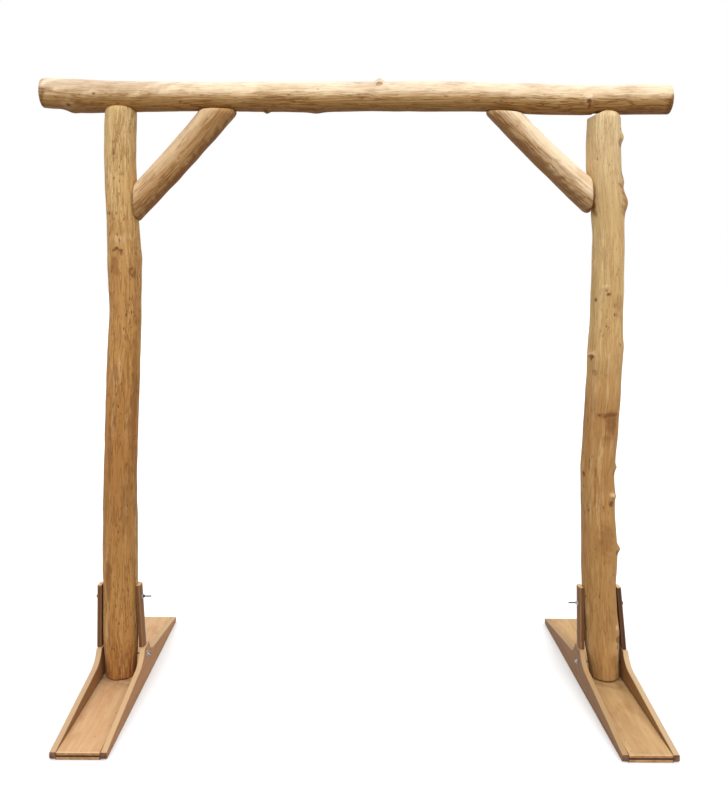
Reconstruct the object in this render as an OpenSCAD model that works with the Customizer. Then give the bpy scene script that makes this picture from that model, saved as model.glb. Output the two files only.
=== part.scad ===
// Round log arch: a free-standing open frame of peeled logs.
// A crossbeam rests on two posts, a slanting brace props each corner, and each post
// stands in a low wooden foot. A foot is a base board between two long side boards,
// with two upright strips, and two bolts clamp the post between them.
// X runs along the crossbeam, Y from front to back, Z up. The origin is on the floor,
// midway between the ends of the crossbeam and of the feet. Sizes are millimetres.

/* [Crossbeam] */
// Length of the crossbeam
beam_length = 2245; // [2000:5:3000]
// Height of the crossbeam's axis above the floor
beam_height = 2087; // [1700:1:2600]
// Mean diameter of the crossbeam
beam_d = 107; // [95:1:130]

/* [Posts] */
// Distance from the middle to the left foot
left_foot_x = 824; // [600:1:1000]
// Distance from the middle to the right foot
right_foot_x = 887; // [600:1:1000]
// Mean diameter of the left post
left_post_d = 116; // [100:1:126]
// Mean diameter of the right post
right_post_d = 118; // [100:1:126]
// Depth of the notch that the left post enters in the crossbeam
left_post_notch = 14; // [3:1:25]
// Depth of the notch that the right post enters in the crossbeam
right_post_notch = 5; // [3:1:25]
// Width of the corner hewn off the right post's top, on the archway side
corner_width = 52; // [10:1:60]
// Height of the corner hewn off the right post's top, on the archway side
corner_height = 24; // [10:1:60]

/* [Braces] */
// Mean diameter of the left brace
left_brace_d = 109; // [80:1:120]
// Mean diameter of the right brace
right_brace_d = 101; // [80:1:120]
// Distance of the left brace's top from the left foot's middle
left_brace_run = 335; // [250:1:420]
// Distance of the right brace's top from the right foot's middle
right_brace_run = 363; // [250:1:420]
// Drop of the left brace, from its seat on the beam to its seat on the post
left_brace_drop = 337; // [250:1:450]
// Drop of the right brace, from its seat on the beam to its seat on the post
right_brace_drop = 307; // [250:1:450]
// Depth of the notch that each brace enters in the crossbeam
brace_notch = 6; // [2:1:20]
// Depth of the left post's flat behind the middle of its brace
left_brace_flat = 6; // [0:1:15]
// Depth of the right post's flat behind the middle of its brace (0 = it bears higher up)
right_brace_flat = 0; // [0:1:15]

/* [Feet] */
// Length of a foot from toe to toe
foot_length = 914; // [700:1:1200]
// Width of a foot over its side boards
foot_width = 172; // [160:1:200]
// Thickness of the side boards and upright strips
board_t = 19; // [15:1:24]
// Thickness of the base board
base_t = 22; // [18:1:30]
// Height of a side board at its toes
toe_height = 22; // [18:1:40]
// Height of a side board under its upright strip
side_height = 125; // [100:1:160]
// Radius of the rounded lower corner at each toe
toe_radius = 10; // [4:1:14]
// Length of a side board's level edge past each side of its strip
shoulder_level = 8; // [0:1:20]
// Radius of the hollow shoulder beside each strip
shoulder_radius = 74; // [50:1:120]
// Height of the groove across each end of the base board
groove_height = 5; // [3:1:8]
// Depth of the groove across each end of the base board
groove_depth = 6; // [3:1:12]

/* [Upright strips] */
// Width of a strip, from front to back
strip_width = 40; // [30:1:60]
// How far the left foot's strips stand outward of their side boards' faces
left_strip_shift = 5; // [0:1:8]
// How far the right foot's strips stand outward of their side boards' faces
right_strip_shift = 1; // [0:1:8]
// Height of the top of the strips above the floor
strip_top = 344; // [300:1:420]
// Gap between the left post and its outer strip at the upper bolt. At 0 the strip bears on it.
left_outer_gap = 2.5; // [0:0.1:6]
// Gap between the left post and its inner strip at the upper bolt. At 0 the strip bears on it.
left_inner_gap = 0; // [0:0.1:6]
// Gap between the right post and its outer strip at the upper bolt. At 0 the strip bears on it.
right_outer_gap = 3; // [0:0.1:6]
// Gap between the right post and its inner strip at the upper bolt. At 0 the strip bears on it.
right_inner_gap = 1; // [0:0.1:6]

/* [Bolts] */
// Diameter of the bolts
bolt_d = 5; // [4:0.05:8]
// Height of the left foot's upper bolt above the floor
left_upper_bolt_z = 299; // [260:1:310]
// Height of the right foot's upper bolt above the floor
right_upper_bolt_z = 283; // [260:1:310]
// Height of the left foot's lower bolt above the floor
left_lower_bolt_z = 95; // [60:1:95]
// Height of the right foot's lower bolt above the floor
right_lower_bolt_z = 72; // [60:1:95]
// Length of thread that stands out past the wood at the upper bolts
upper_thread = 32; // [20:1:40]
// Length of thread that stands out past the wood at the lower bolts
lower_thread = 14; // [12:1:40]
// Diameter of the bolts' domed heads
head_d = 14; // [12:0.5:20]
// Diameter of the washers
washer_d = 18; // [14:0.5:24]
// Gap between a bolt and the wood around it
bore_gap = 0.3; // [0.2:0.05:1]

/* [Hidden] */

// Colours
log_gold = [0.78, 0.60, 0.37];
log_pale = [0.84, 0.69, 0.48];
board_tan = [0.80, 0.64, 0.47];
strip_brown = [0.50, 0.37, 0.26];
zinc = [0.72, 0.73, 0.75];

// Bodies of the logs: how many sides a log has, how far apart its rings lie,
// and how round its end rims are
log_sides = 24;
ring_step = 34;
rim = 12;

LEFT = -1;
RIGHT = 1;
OUTER = 1;
INNER = -1;

// The notches in the crossbeam's underside
beam_r = beam_d / 2;
beam_under = beam_height - beam_r;
left_post_top = beam_under + left_post_notch;
right_post_top = beam_under + right_post_notch;
brace_top = beam_under + brace_notch;
notch_gap = 1;

// Stations of the logs, evenly spaced from one end to the other. Each is
// [sideways shift, front-to-back shift, radius over the mean radius].
beam_line = [[0, 11, -1.5], [0, 0, 5.5], [0, -1.5, 1], [0, -0.5, -2], [0, 0, -1.5], [0, 0, -2],
    [0, 1, -1], [0, 0.5, 0.5], [0, 3.5, -2], [0, 4.5, 0], [0, 5.5, -1], [0, 4.5, -1.5],
    [0, 0.5, -1.5], [0, -4, -0.5], [0, -5.5, -1], [0, -3, -1.5], [0, -1.5, -1.5]];
left_post_line = [[-6, 0, -5], [-8, 0, 1.5], [-9, 0, 2.5], [-11, 0, 2.5], [-13, 0, 1],
    [-12, 0, -0.5], [-10, 0, -0.5], [-5, 0, 0], [-2, 0, -1], [2, 0, -2], [0, 0, 0.5], [-7, 0, -2],
    [-15, 0, -2], [-19, 0, -3], [-17, 0, -3]];
right_post_line = [[10, 0, -8], [-3, 0, -2], [-9, 0, 0], [-10, 0, 2], [-14, 0, -0.5],
    [-17, 0, -0.5], [-8, 0, 1], [1, 0, 1.5], [8, 0, 1.5], [13, 0, -2], [16, 0, -3],
    [18, 0, -3.5], [8, 0, 0], [-1, 0, 0.5], [0, 0, -1]];
left_brace_line = [[-4, 0, -1], [2, 0, -4], [5.5, 0, -2], [3, 0, -0.5], [0, 0, 0]];
right_brace_line = [[-5, 0, 5], [1, 0, 1], [5.5, 0, -2.5], [4, 0, -3.5], [0, 0, -3]];

// Knots: [share of the length, direction round the log, height, spread]
beam_knots = [[0.049, 268, 6, 18], [0.36, 262, 3, 22], [0.44, 268, 3, 26], [0.537, 90, 12, 15]];
left_post_knots = [[0.79, 285, 4, 26], [0.735, 10, 3, 30]];
right_post_knots = [[0.84, 0, 16, 36], [0.878, 0, 8, 20], [0.954, 0, 9, 22], [0.9, 180, 3, 30],
    [0.83, 180, -3, 26], [0.585, 0, 4, 26], [0.565, 190, 4, 26], [0.378, 0, 7, 24],
    [0.315, 320, 6, 26], [0.228, 0, 7, 26], [0.055, 300, 3, 26]];
no_knots = [];

// Value at share s of the way along evenly spaced stations, on a smooth curve
// through them (a Catmull-Rom spline)
function along(line, s) =
    let (last = len(line) - 1,
        place = min(max(s, 0), 1) * last,
        i = min(floor(place), last - 1),
        f = place - i,
        a = line[max(i - 1, 0)],
        b = line[i],
        c = line[i + 1],
        d = line[min(i + 2, last)])
    0.5 * (2 * b + (c - a) * f + (2 * a - 5 * b + 4 * c - d) * f * f
        + (3 * b - a - 3 * c + d) * f * f * f);

// Smallest angle between two directions, and the swelling that one knot adds there
function turn(a, b) = let (t = abs(a - b) % 360) t > 180 ? 360 - t : t;
function swelling(knot, s, angle, length, r) =
    let (up = (s - knot[0]) * length,
        round_it = turn(angle, knot[1]) * PI / 180 * r,
        away = (up * up + round_it * round_it) / (knot[3] * knot[3]))
    away > 6 ? 0 : knot[2] * exp(-away);
function swellings(knots, s, angle, length, r, i = 0) =
    i >= len(knots) ? 0
    : swelling(knots[i], s, angle, length, r) + swellings(knots, s, angle, length, r, i + 1);

// How far the rounded rim draws the surface in, at a distance from the log's end
function drawn_in(away) =
    away >= rim ? 0 : rim * (1 - sqrt(max(0, 1 - pow(1 - away / rim, 2))));

// Distances along the log at which it has a ring: three at each rounded rim
function ring_places(length) =
    let (middle = length - 2 * rim,
        count = ceil(middle / ring_step))
    concat([0, rim * 0.3], [for (i = [0 : count]) rim + middle * i / count],
        [length - rim * 0.3, length]);

// A crooked log standing on Z = 0, with knots and rounded rims
module log_body(length, r, line, knots) {
    places = ring_places(length);
    rings = len(places);
    points = [for (z = places)
        let (s = z / length, station = along(line, s))
        for (k = [0 : log_sides - 1])
            let (angle = 360 * k / log_sides,
                reach = r + station[2] + swellings(knots, s, angle, length, r)
                    - drawn_in(min(z, length - z)))
            [station[0] + reach * cos(angle), station[1] + reach * sin(angle), z]];
    sides = [for (j = [0 : rings - 2]) for (k = [0 : log_sides - 1])
        let (a = j * log_sides + k,
            b = j * log_sides + (k + 1) % log_sides)
        each [[a, a + log_sides, b], [b, a + log_sides, b + log_sides]]];
    lower_end = [for (k = [0 : log_sides - 1]) k];
    upper_end = [for (k = [0 : log_sides - 1]) rings * log_sides - 1 - k];
    polyhedron(points = points, faces = concat(sides, [lower_end], [upper_end]), convexity = 6);
}

// Values of the two sides of the arch
function foot_x(side) = side == LEFT ? -left_foot_x : right_foot_x;
function post_r(side) = (side == LEFT ? left_post_d : right_post_d) / 2;
function post_line(side) = side == LEFT ? left_post_line : right_post_line;
function post_knots(side) = side == LEFT ? left_post_knots : right_post_knots;
function post_top(side) = side == LEFT ? left_post_top : right_post_top;
function lower_bolt_z(side) = side == LEFT ? left_lower_bolt_z : right_lower_bolt_z;

// Centre and radius of a post at a height: [distance outward from its foot's middle, radius]
function post_at(side, z) =
    let (station = along(post_line(side), (z - base_t) / (post_top(side) - base_t)))
    [station[0] * side, post_r(side) + station[2]];

// Distance from a foot's middle to the inner face of its side boards
bay = foot_width / 2 - board_t;

// Distance from the foot's middle to a strip's near face: at the strip's base, and where
// the upper bolt passes. The strip leans until it stands its gap off the post there, or
// bears on a flat that is strip_bite deep in the post.
strip_bite = 1.5;
function upper_bolt_z(side) = side == LEFT ? left_upper_bolt_z : right_upper_bolt_z;
function strip_shift(side) = side == LEFT ? left_strip_shift : right_strip_shift;
function strip_base(side, way) = bay + strip_shift(side) * way;
function strip_gap(side, way) =
    side == LEFT ? (way == OUTER ? left_outer_gap : left_inner_gap)
    : (way == OUTER ? right_outer_gap : right_inner_gap);
function strip_reach(side, way) =
    let (post = post_at(side, upper_bolt_z(side)), gap = strip_gap(side, way))
    post[0] * way + post[1] + (gap > 0 ? gap : -strip_bite);
function strip_lean(side, way) =
    (strip_base(side, way) - strip_reach(side, way))
        * (strip_top - side_height) / (upper_bolt_z(side) - side_height);

// Put a piece drawn outward along +X on its foot. A way of OUTER faces away from the
// archway, and INNER faces towards it.
module on_foot(side, way) {
    translate([foot_x(side), 0, 0])
        mirror([side * way == 1 ? 0 : 1, 0, 0]) children();
}

// Straight bore along X, wide enough for a bolt
module bolt_hole(z) {
    reach = foot_width;
    translate([-reach, 0, z]) rotate([0, 90, 0])
        cylinder(h = 2 * reach, d = bolt_d + 2 * bore_gap, $fn = 48);
}

// The space that a strip and side board take beside the post, drawn in X and Z. It is a
// hair wider than the strip, so that the two leaning faces don't share one plane.
hair = 0.02;
module clamp_space(side, way) {
    base = strip_base(side, way) - hair;
    far = bay + 3 * board_t;
    on_foot(side, way) rotate([90, 0, 0]) linear_extrude(height = 3 * post_r(side), center = true)
        polygon([[bay, 0], [far, 0], [far, strip_top], [base - strip_lean(side, way), strip_top],
            [base, side_height], [bay, side_height]]);
}

// ---- Logs ----

module crossbeam() {
    color(log_gold) difference() {
        translate([-beam_length / 2, 0, beam_height]) rotate([0, 90, 0]) rotate([0, 0, 90])
            log_body(beam_length, beam_r, beam_line, beam_knots);
        for (side = [LEFT, RIGHT]) {
            post = post_at(side, post_top(side));
            beam_notch(foot_x(side) + side * post[0], 2 * (post[1] + notch_gap), post_top(side));
            beam_notch(brace_top_x(side), brace_seat_length(side), brace_top);
        }
    }
}

// A flat-topped notch across the underside of the crossbeam
module beam_notch(x, length, seat) {
    translate([x - length / 2, -beam_d, seat - beam_d]) cube([length, 2 * beam_d, beam_d]);
}

module post(side) {
    color(log_gold) difference() {
        translate([foot_x(side), 0, base_t])
            log_body(post_top(side) - base_t, post_r(side), post_line(side), post_knots(side));
        clamp_space(side, OUTER);
        clamp_space(side, INNER);
        brace_flat_cut(side);
        translate([foot_x(side), 0, 0]) bolt_hole(upper_bolt_z(side));
        translate([foot_x(side), 0, 0]) bolt_hole(lower_bolt_z(side));
    }
}
module left_post() { post(LEFT); }

// The right post has one corner hewn off at its top, where the crossbeam rests on the rest
module right_post() {
    top = post_top(RIGHT);
    at_top = post_at(RIGHT, top);
    edge = right_foot_x + at_top[0] - at_top[1];
    far = 2 * corner_width;
    difference() {
        post(RIGHT);
        rotate([90, 0, 0]) linear_extrude(height = 3 * at_top[1], center = true)
            polygon([[edge, top - corner_height], [edge + corner_width, top],
                [edge + corner_width, top + far], [edge - far, top + far],
                [edge - far, top - corner_height]]);
    }
}

// ---- Braces ----

function brace_r(side) = (side == LEFT ? left_brace_d : right_brace_d) / 2;
function brace_run(side) = side == LEFT ? left_brace_run : right_brace_run;
function brace_drop(side) = side == LEFT ? left_brace_drop : right_brace_drop;
function brace_line(side) = side == LEFT ? left_brace_line : right_brace_line;

// The brace's axis runs from the middle of its seat on the post to that on the beam.
// The post's seat is a plane post_flat deep in the post's inner side, at that middle.
function post_flat(side) = side == LEFT ? left_brace_flat : right_brace_flat;
function brace_foot_z(side) = brace_top - brace_drop(side);
function brace_foot_out(side) =
    let (post = post_at(side, brace_foot_z(side))) post[0] - post[1] + post_flat(side);
function brace_foot_x(side) = foot_x(side) + side * brace_foot_out(side);
function brace_top_x(side) = foot_x(side) - side * brace_run(side);
function brace_lean(side) = atan2(brace_run(side) + brace_foot_out(side), brace_drop(side));
function brace_span(side) = norm([brace_run(side) + brace_foot_out(side), brace_drop(side)]);

// The brace's seats are a little longer than its slanting ends, so that the rest of
// the beam or post stays clear of its sides
seat_margin = 4;
post_bulge = 8;
function brace_seat_length(side) =
    2 * ((brace_r(side) + seat_margin) / cos(brace_lean(side))
        + brace_notch * tan(brace_lean(side)));
function brace_flat_length(side) =
    2 * ((brace_r(side) + seat_margin) / sin(brace_lean(side))
        + (post_flat(side) + post_bulge) / tan(brace_lean(side)));

// Flat on the post's inner side where the brace bears
module brace_flat_cut(side) {
    deep = 4 * post_flat(side) + post_r(side) / 2;
    translate([brace_foot_x(side) - side * deep / 2, 0, brace_foot_z(side)])
        cube([deep, 4 * post_r(side), brace_flat_length(side)], center = true);
}

module brace(side) {
    spare = 1.5 * brace_r(side);
    block = 4 * brace_r(side);
    color(log_pale) difference() {
        translate([brace_foot_x(side), 0, brace_foot_z(side)])
            rotate([0, -side * brace_lean(side), 0]) translate([0, 0, -spare])
            mirror([side == RIGHT ? 1 : 0, 0, 0])
            log_body(brace_span(side) + 2 * spare, brace_r(side), brace_line(side), no_knots);
        translate([brace_top_x(side), 0, brace_top + block / 2]) cube(block, center = true);
        translate([brace_foot_x(side) + side * block / 2, 0, brace_foot_z(side)])
            cube(block, center = true);
    }
}
module left_brace() { brace(LEFT); }
module right_brace() { brace(RIGHT); }

// ---- Feet ----

// Outline of half a side board in Y and Z, from the toe up to its strip. The long edge
// rises in a straight slope, then a hollow shoulder sweeps up to the level under the strip.
half_foot = foot_length / 2;
half_level = strip_width / 2 + shoulder_level;
shoulder_top_angle = 70;
slope_angle = slope_for(10);

// Slope of the long edge: the shoulder's lower end has to lie on it, so it is worked out
// from a first guess by a few rounds
function shoulder_width(a) = shoulder_radius * (sin(shoulder_top_angle) - sin(a));
function shoulder_drop(a) = shoulder_radius * (cos(a) - cos(shoulder_top_angle));
function slope_for(a, rounds = 12) =
    rounds == 0 ? a
    : slope_for(atan2(side_height - shoulder_drop(a) - toe_height,
        half_foot - half_level - shoulder_width(a)), rounds - 1);

toe_steps = 6;
shoulder_steps = 10;
half_outline = concat(
    [for (i = [0 : toe_steps]) let (a = 270 - 90 * i / toe_steps)
        [-half_foot + toe_radius + toe_radius * cos(a), toe_radius + toe_radius * sin(a)]],
    [[-half_foot, toe_height]],
    [for (i = [0 : shoulder_steps])
        let (a = slope_angle + (shoulder_top_angle - slope_angle) * i / shoulder_steps)
        [-half_level - shoulder_radius * (sin(shoulder_top_angle) - sin(a)),
            side_height - shoulder_radius * (cos(a) - cos(shoulder_top_angle))]]);
side_outline = concat(half_outline,
    [for (i = [len(half_outline) - 1 : -1 : 0]) [-half_outline[i][0], half_outline[i][1]]]);

module side_board(side, way) {
    color(board_tan) on_foot(side, way) difference() {
        translate([bay, 0, 0]) rotate([90, 0, 90]) linear_extrude(height = board_t)
            polygon(side_outline);
        bolt_hole(lower_bolt_z(side));
    }
}
module left_outer_side_board() { side_board(LEFT, OUTER); }
module left_inner_side_board() { side_board(LEFT, INNER); }
module right_outer_side_board() { side_board(RIGHT, OUTER); }
module right_inner_side_board() { side_board(RIGHT, INNER); }

// The base board fills the bay between the side boards, with a groove across each end
module base_board(side) {
    color(board_tan) translate([foot_x(side), 0, 0]) difference() {
        translate([-bay, -half_foot, 0]) cube([2 * bay, foot_length, base_t]);
        for (end = [-1, 1])
            translate([0, end * half_foot, base_t / 2])
                cube([3 * bay, 2 * groove_depth, groove_height], center = true);
    }
}
module left_base_board() { base_board(LEFT); }
module right_base_board() { base_board(RIGHT); }

// The strip stands on the side board and leans against the post. A shallow round seat
// is let into its outside where a bolt's head or washer bears.
seat_depth = 0.8;
function strip_seat(side, way) = strip_reach(side, way) + board_t - seat_depth;

module upright_strip(side, way) {
    base = strip_base(side, way);
    top = base - strip_lean(side, way);
    color(strip_brown) on_foot(side, way) difference() {
        rotate([90, 0, 0]) linear_extrude(height = strip_width, center = true)
            polygon([[base, side_height], [base + board_t, side_height],
                [top + board_t, strip_top], [top, strip_top]]);
        bolt_hole(upper_bolt_z(side));
        translate([strip_seat(side, way), 0, upper_bolt_z(side)]) rotate([0, 90, 0])
            cylinder(h = board_t, d = washer_d + 2, $fn = 48);
    }
}
module left_outer_upright_strip() { upright_strip(LEFT, OUTER); }
module left_inner_upright_strip() { upright_strip(LEFT, INNER); }
module right_outer_upright_strip() { upright_strip(RIGHT, OUTER); }
module right_inner_upright_strip() { upright_strip(RIGHT, INNER); }

// ---- Bolts, washers and wing nuts ----

washer_t = 1.6;
head_h = 6;
nut_h = 7;
nut_d = 11;
wing_span = 25;
wing_rise = 12;
wing_t = 2.2;
thread_gap = 0.05;

// A bolt's head bears at head_at on the outer side of the foot, and its washer at nut_at
// on the archway side. Both are distances from the foot's middle.
function head_at(side, upper) = upper ? strip_seat(side, OUTER) : bay + board_t;
function nut_at(side, upper) = upper ? strip_seat(side, INNER) : bay + board_t;
function bolt_z(side, upper) = upper ? upper_bolt_z(side) : lower_bolt_z(side);

// Domed head, and a shank from the head through the foot to its free end
module bolt(side, upper) {
    thread = upper ? upper_thread : lower_thread;
    head_face = head_at(side, upper);
    tail = -nut_at(side, upper) - thread;
    dome_r = (head_d * head_d / 4 + head_h * head_h) / (2 * head_h);
    color(zinc) on_foot(side, OUTER) translate([head_face, 0, bolt_z(side, upper)])
        rotate([0, 90, 0]) {
            translate([0, 0, tail - head_face])
                cylinder(h = head_face - tail + head_h / 2, d = bolt_d, $fn = 32);
            intersection() {
                translate([0, 0, head_h - dome_r]) sphere(r = dome_r, $fn = 64);
                cylinder(h = head_h, d = head_d, $fn = 48);
            }
        }
}

// Put a piece drawn from Z = 0 upward against the wood on the archway side
module on_nut_seat(side, upper) {
    on_foot(side, INNER) translate([nut_at(side, upper), 0, bolt_z(side, upper)])
        rotate([0, 90, 0]) children();
}

module washer(side, upper) {
    color(zinc) on_nut_seat(side, upper) difference() {
        cylinder(h = washer_t, d = washer_d, $fn = 48);
        translate([0, 0, -washer_t]) cylinder(h = 3 * washer_t, d = bolt_d + 2 * bore_gap, $fn = 48);
    }
}

// Round hub with two flat ears that rise away from the wood, turned to where each nut
// came to rest when it was done up
function ear_turn(side, upper) = upper || side == RIGHT ? 65 : 35;
module wing_nut(side, upper) {
    ear = [[nut_d / 3, 1], [wing_span / 2 - 2, nut_h * 0.7], [wing_span / 2, wing_rise],
        [wing_span / 2 - 5, wing_rise], [nut_d / 3, nut_h]];
    color(zinc) on_nut_seat(side, upper) translate([0, 0, washer_t]) difference() {
        union() {
            cylinder(h = nut_h, d = nut_d, $fn = 48);
            for (flip = [0, 180])
                rotate([90, 0, flip + ear_turn(side, upper)]) linear_extrude(height = wing_t, center = true)
                    polygon(ear);
        }
        translate([0, 0, -1]) cylinder(h = wing_rise + 2, d = bolt_d + 2 * thread_gap, $fn = 48);
    }
}

module left_upper_bolt() { bolt(LEFT, true); }
module left_lower_bolt() { bolt(LEFT, false); }
module left_upper_washer() { washer(LEFT, true); }
module left_lower_washer() { washer(LEFT, false); }
module left_upper_wing_nut() { wing_nut(LEFT, true); }
module left_lower_wing_nut() { wing_nut(LEFT, false); }
module right_upper_bolt() { bolt(RIGHT, true); }
module right_lower_bolt() { bolt(RIGHT, false); }
module right_upper_washer() { washer(RIGHT, true); }
module right_lower_washer() { washer(RIGHT, false); }
module right_upper_wing_nut() { wing_nut(RIGHT, true); }
module right_lower_wing_nut() { wing_nut(RIGHT, false); }

crossbeam();
left_post();
right_post();
left_brace();
right_brace();
left_base_board();
left_outer_side_board();
left_inner_side_board();
left_outer_upright_strip();
left_inner_upright_strip();
left_upper_bolt();
left_lower_bolt();
left_upper_washer();
left_lower_washer();
left_upper_wing_nut();
left_lower_wing_nut();
right_base_board();
right_outer_side_board();
right_inner_side_board();
right_outer_upright_strip();
right_inner_upright_strip();
right_upper_bolt();
right_lower_bolt();
right_upper_washer();
right_lower_washer();
right_upper_wing_nut();
right_lower_wing_nut();
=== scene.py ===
"""Round log arch: peeled logs on two low board feet. All lengths are in metres."""
import math

import bpy
import numpy as np
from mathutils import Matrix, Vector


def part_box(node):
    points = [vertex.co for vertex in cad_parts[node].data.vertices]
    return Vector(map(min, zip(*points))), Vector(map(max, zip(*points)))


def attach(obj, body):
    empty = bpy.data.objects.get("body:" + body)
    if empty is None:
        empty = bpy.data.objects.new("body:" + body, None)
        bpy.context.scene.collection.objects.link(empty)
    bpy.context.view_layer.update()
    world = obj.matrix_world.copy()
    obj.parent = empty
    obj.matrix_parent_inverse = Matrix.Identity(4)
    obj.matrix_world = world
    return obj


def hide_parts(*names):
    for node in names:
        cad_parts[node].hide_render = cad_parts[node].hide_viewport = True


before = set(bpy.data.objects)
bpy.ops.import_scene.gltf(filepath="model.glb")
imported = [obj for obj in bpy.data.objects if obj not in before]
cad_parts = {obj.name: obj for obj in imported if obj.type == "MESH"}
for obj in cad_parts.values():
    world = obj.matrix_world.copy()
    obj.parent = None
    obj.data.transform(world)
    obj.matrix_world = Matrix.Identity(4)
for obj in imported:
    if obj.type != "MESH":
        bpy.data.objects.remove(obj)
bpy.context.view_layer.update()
scene = bpy.context.scene

MM = 0.001
LEFT, RIGHT = -1, 1
OUTER, INNER = 1, -1
SIDES = {LEFT: "left", RIGHT: "right"}
WAYS = {OUTER: "outer", INNER: "inner"}


# ---- Sizes, read from the CAD nodes or shared with the part's source ----

def corners(node):
    """Lowest and highest corner of a CAD node, as two arrays."""
    low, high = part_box(node)
    return np.array(low), np.array(high)


def middle_and_half(node):
    """Middle and half width of a CAD node from left to right."""
    low, high = corners(node)
    return (low[0] + high[0]) / 2, (high[0] - low[0]) / 2


FOOT_X = {side: middle_and_half(SIDES[side] + "_base_board")[0] for side in (LEFT, RIGHT)}
BAY = middle_and_half("left_base_board")[1]
BOARD_T = 2 * middle_and_half("left_outer_side_board")[1]
BEAM_LENGTH = 2 * middle_and_half("crossbeam")[1]
HALF_FOOT, BASE_TOP = corners("left_base_board")[1][1:]
HALF_STRIP, STRIP_TOP = corners("left_outer_upright_strip")[1][1:]
SIDE_TOP = corners("left_outer_side_board")[1][2]
POST_TOP = {side: corners(SIDES[side] + "_post")[1][2] for side in (LEFT, RIGHT)}
BRACE_TOP = corners("left_brace")[1][2]
BEAM_HEIGHT = 2.087
BEAM_INSET = 3 * MM  # from each end to its station
BEAM_END = BEAM_LENGTH / 2 - 1.2 * MM  # where an end's plane crosses the axis
BEAM_RADIUS = 53.5 * MM
POST_RADIUS = {LEFT: 58 * MM, RIGHT: 59 * MM}
BRACE_RADIUS = {LEFT: 54.5 * MM, RIGHT: 50.5 * MM}
BRACE_RUN = {LEFT: 335 * MM, RIGHT: 363 * MM}
BRACE_DROP = {LEFT: 337 * MM, RIGHT: 307 * MM}
BRACE_FLAT = {LEFT: 6 * MM, RIGHT: 0.0}  # how deep the brace's end goes into the post
BRACE_TILT = {LEFT: 0.03, RIGHT: 0.08}  # slope of the brace's top
BRACE_TURN = 55 * MM  # from the top's middle to where that slope starts
HEWN_CORNER = (52 * MM, 24 * MM)
STRIP_SHIFT = {LEFT: 5 * MM, RIGHT: 1 * MM}
HALF_LEVEL = HALF_STRIP + 8 * MM
SHOULDER_RADIUS = 74 * MM
SHOULDER_TOP = math.radians(70)
TOE_HEIGHT = 22 * MM
TOE_RADIUS = 10 * MM
SIDE_RIM = 2 * MM
SIDE_CORNER = 3 * MM
BASE_RIM = 2.2 * MM
GROOVE_LOW, GROOVE_HIGH, GROOVE_DEPTH, GROOVE_LIP = 0.0085, 0.0135, 0.006, 0.0005
STRIP_FOOT_RIM = 1.2 * MM
STRIP_CROWN = 5 * MM
STRIP_CORNER = 1.6 * MM
WORN_EDGE = 3.5 * MM
THREAD_RADIUS, THREAD_PITCH, THREAD_DEPTH = 0.00245, 0.0013, 0.00045
HEAD_HEIGHT = 6 * MM

# Stations along each log: sideways shift, other shift, radius over the mean, in mm
BEAM_LINE = [[0, 11, -1.5], [0, 0, 5.5], [0, -1.5, 1], [0, -0.5, -2], [0, 0, -1.5],
             [0, 0, -2], [0, 1, -1], [0, 0.5, 0.5], [0, 3.5, -2], [0, 4.5, 0], [0, 5.5, -1],
             [0, 4.5, -1.5], [0, 0.5, -1.5], [0, -4, -0.5], [0, -5.5, -1], [0, -3, -1.5],
             [0, -1.5, -1.5]]
POST_LINES = {
    LEFT: [[-6, 0, -5], [-8, 0, 1.5], [-9, 0, 2.5], [-11, 0, 2.5], [-13, 0, 1], [-12, 0, -0.5],
           [-10, 0, -0.5], [-5, 0, 0], [-2, 0, -1], [2, 0, -2], [0, 0, 0.5], [-7, 0, -2],
           [-15, 0, -2], [-19, 0, -3], [-17, 0, -3]],
    RIGHT: [[10, 0, -8], [-3, 0, -2], [-9, 0, 0], [-10, 0, 2], [-14, 0, -0.5], [-17, 0, -0.5],
            [-8, 0, 1], [1, 0, 1.5], [8, 0, 1.5], [13, 0, -2], [16, 0, -3], [18, 0, -3.5],
            [8, 0, 0], [-1, 0, 0.5], [0, 0, -1]]}
BRACE_LINES = {LEFT: [[-4, 0, -1], [2, 0, -4], [5.5, 0, -2], [3, 0, -0.5], [0, 0, 0]],
               RIGHT: [[-5, 0, 5], [1, 0, 1], [5.5, 0, -2.5], [4, 0, -3.5], [0, 0, -3]]}


# ---- Mesh tools ----

def add_piece(name, points, faces, material, slot, replaced=(), **marks):
    """Make one closed mesh from points and arrays of equal-sided faces, with one value or
    one vector per point for each named mark, and let it ride with the arch."""
    mesh = bpy.data.meshes.new(name)
    loops = np.concatenate([f.ravel() for f in faces])
    sizes = np.concatenate([np.full(len(f), f.shape[1]) for f in faces])
    mesh.vertices.add(len(points))
    mesh.vertices.foreach_set("co", points.ravel())
    mesh.loops.add(len(loops))
    mesh.loops.foreach_set("vertex_index", loops.astype(np.int32))
    mesh.polygons.add(len(sizes))
    mesh.polygons.foreach_set("loop_start", (np.cumsum(sizes) - sizes).astype(np.int32))
    mesh.polygons.foreach_set("use_smooth", np.ones(len(sizes), bool))
    mesh.update(calc_edges=True)
    mesh.validate()
    for mark, values in marks.items():
        kind, field = ("FLOAT_VECTOR", "vector") if values.ndim > 1 else ("FLOAT", "value")
        mesh.attributes.new(mark, kind, "POINT").data.foreach_set(field, values.ravel())
    mesh.materials.append(material)
    piece = link_object(name, mesh)
    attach(piece, "root")
    if replaced:
        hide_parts(*replaced)


def link_object(name, data):
    made = bpy.data.objects.new(name, data)
    scene.collection.objects.link(made)
    return made


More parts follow.
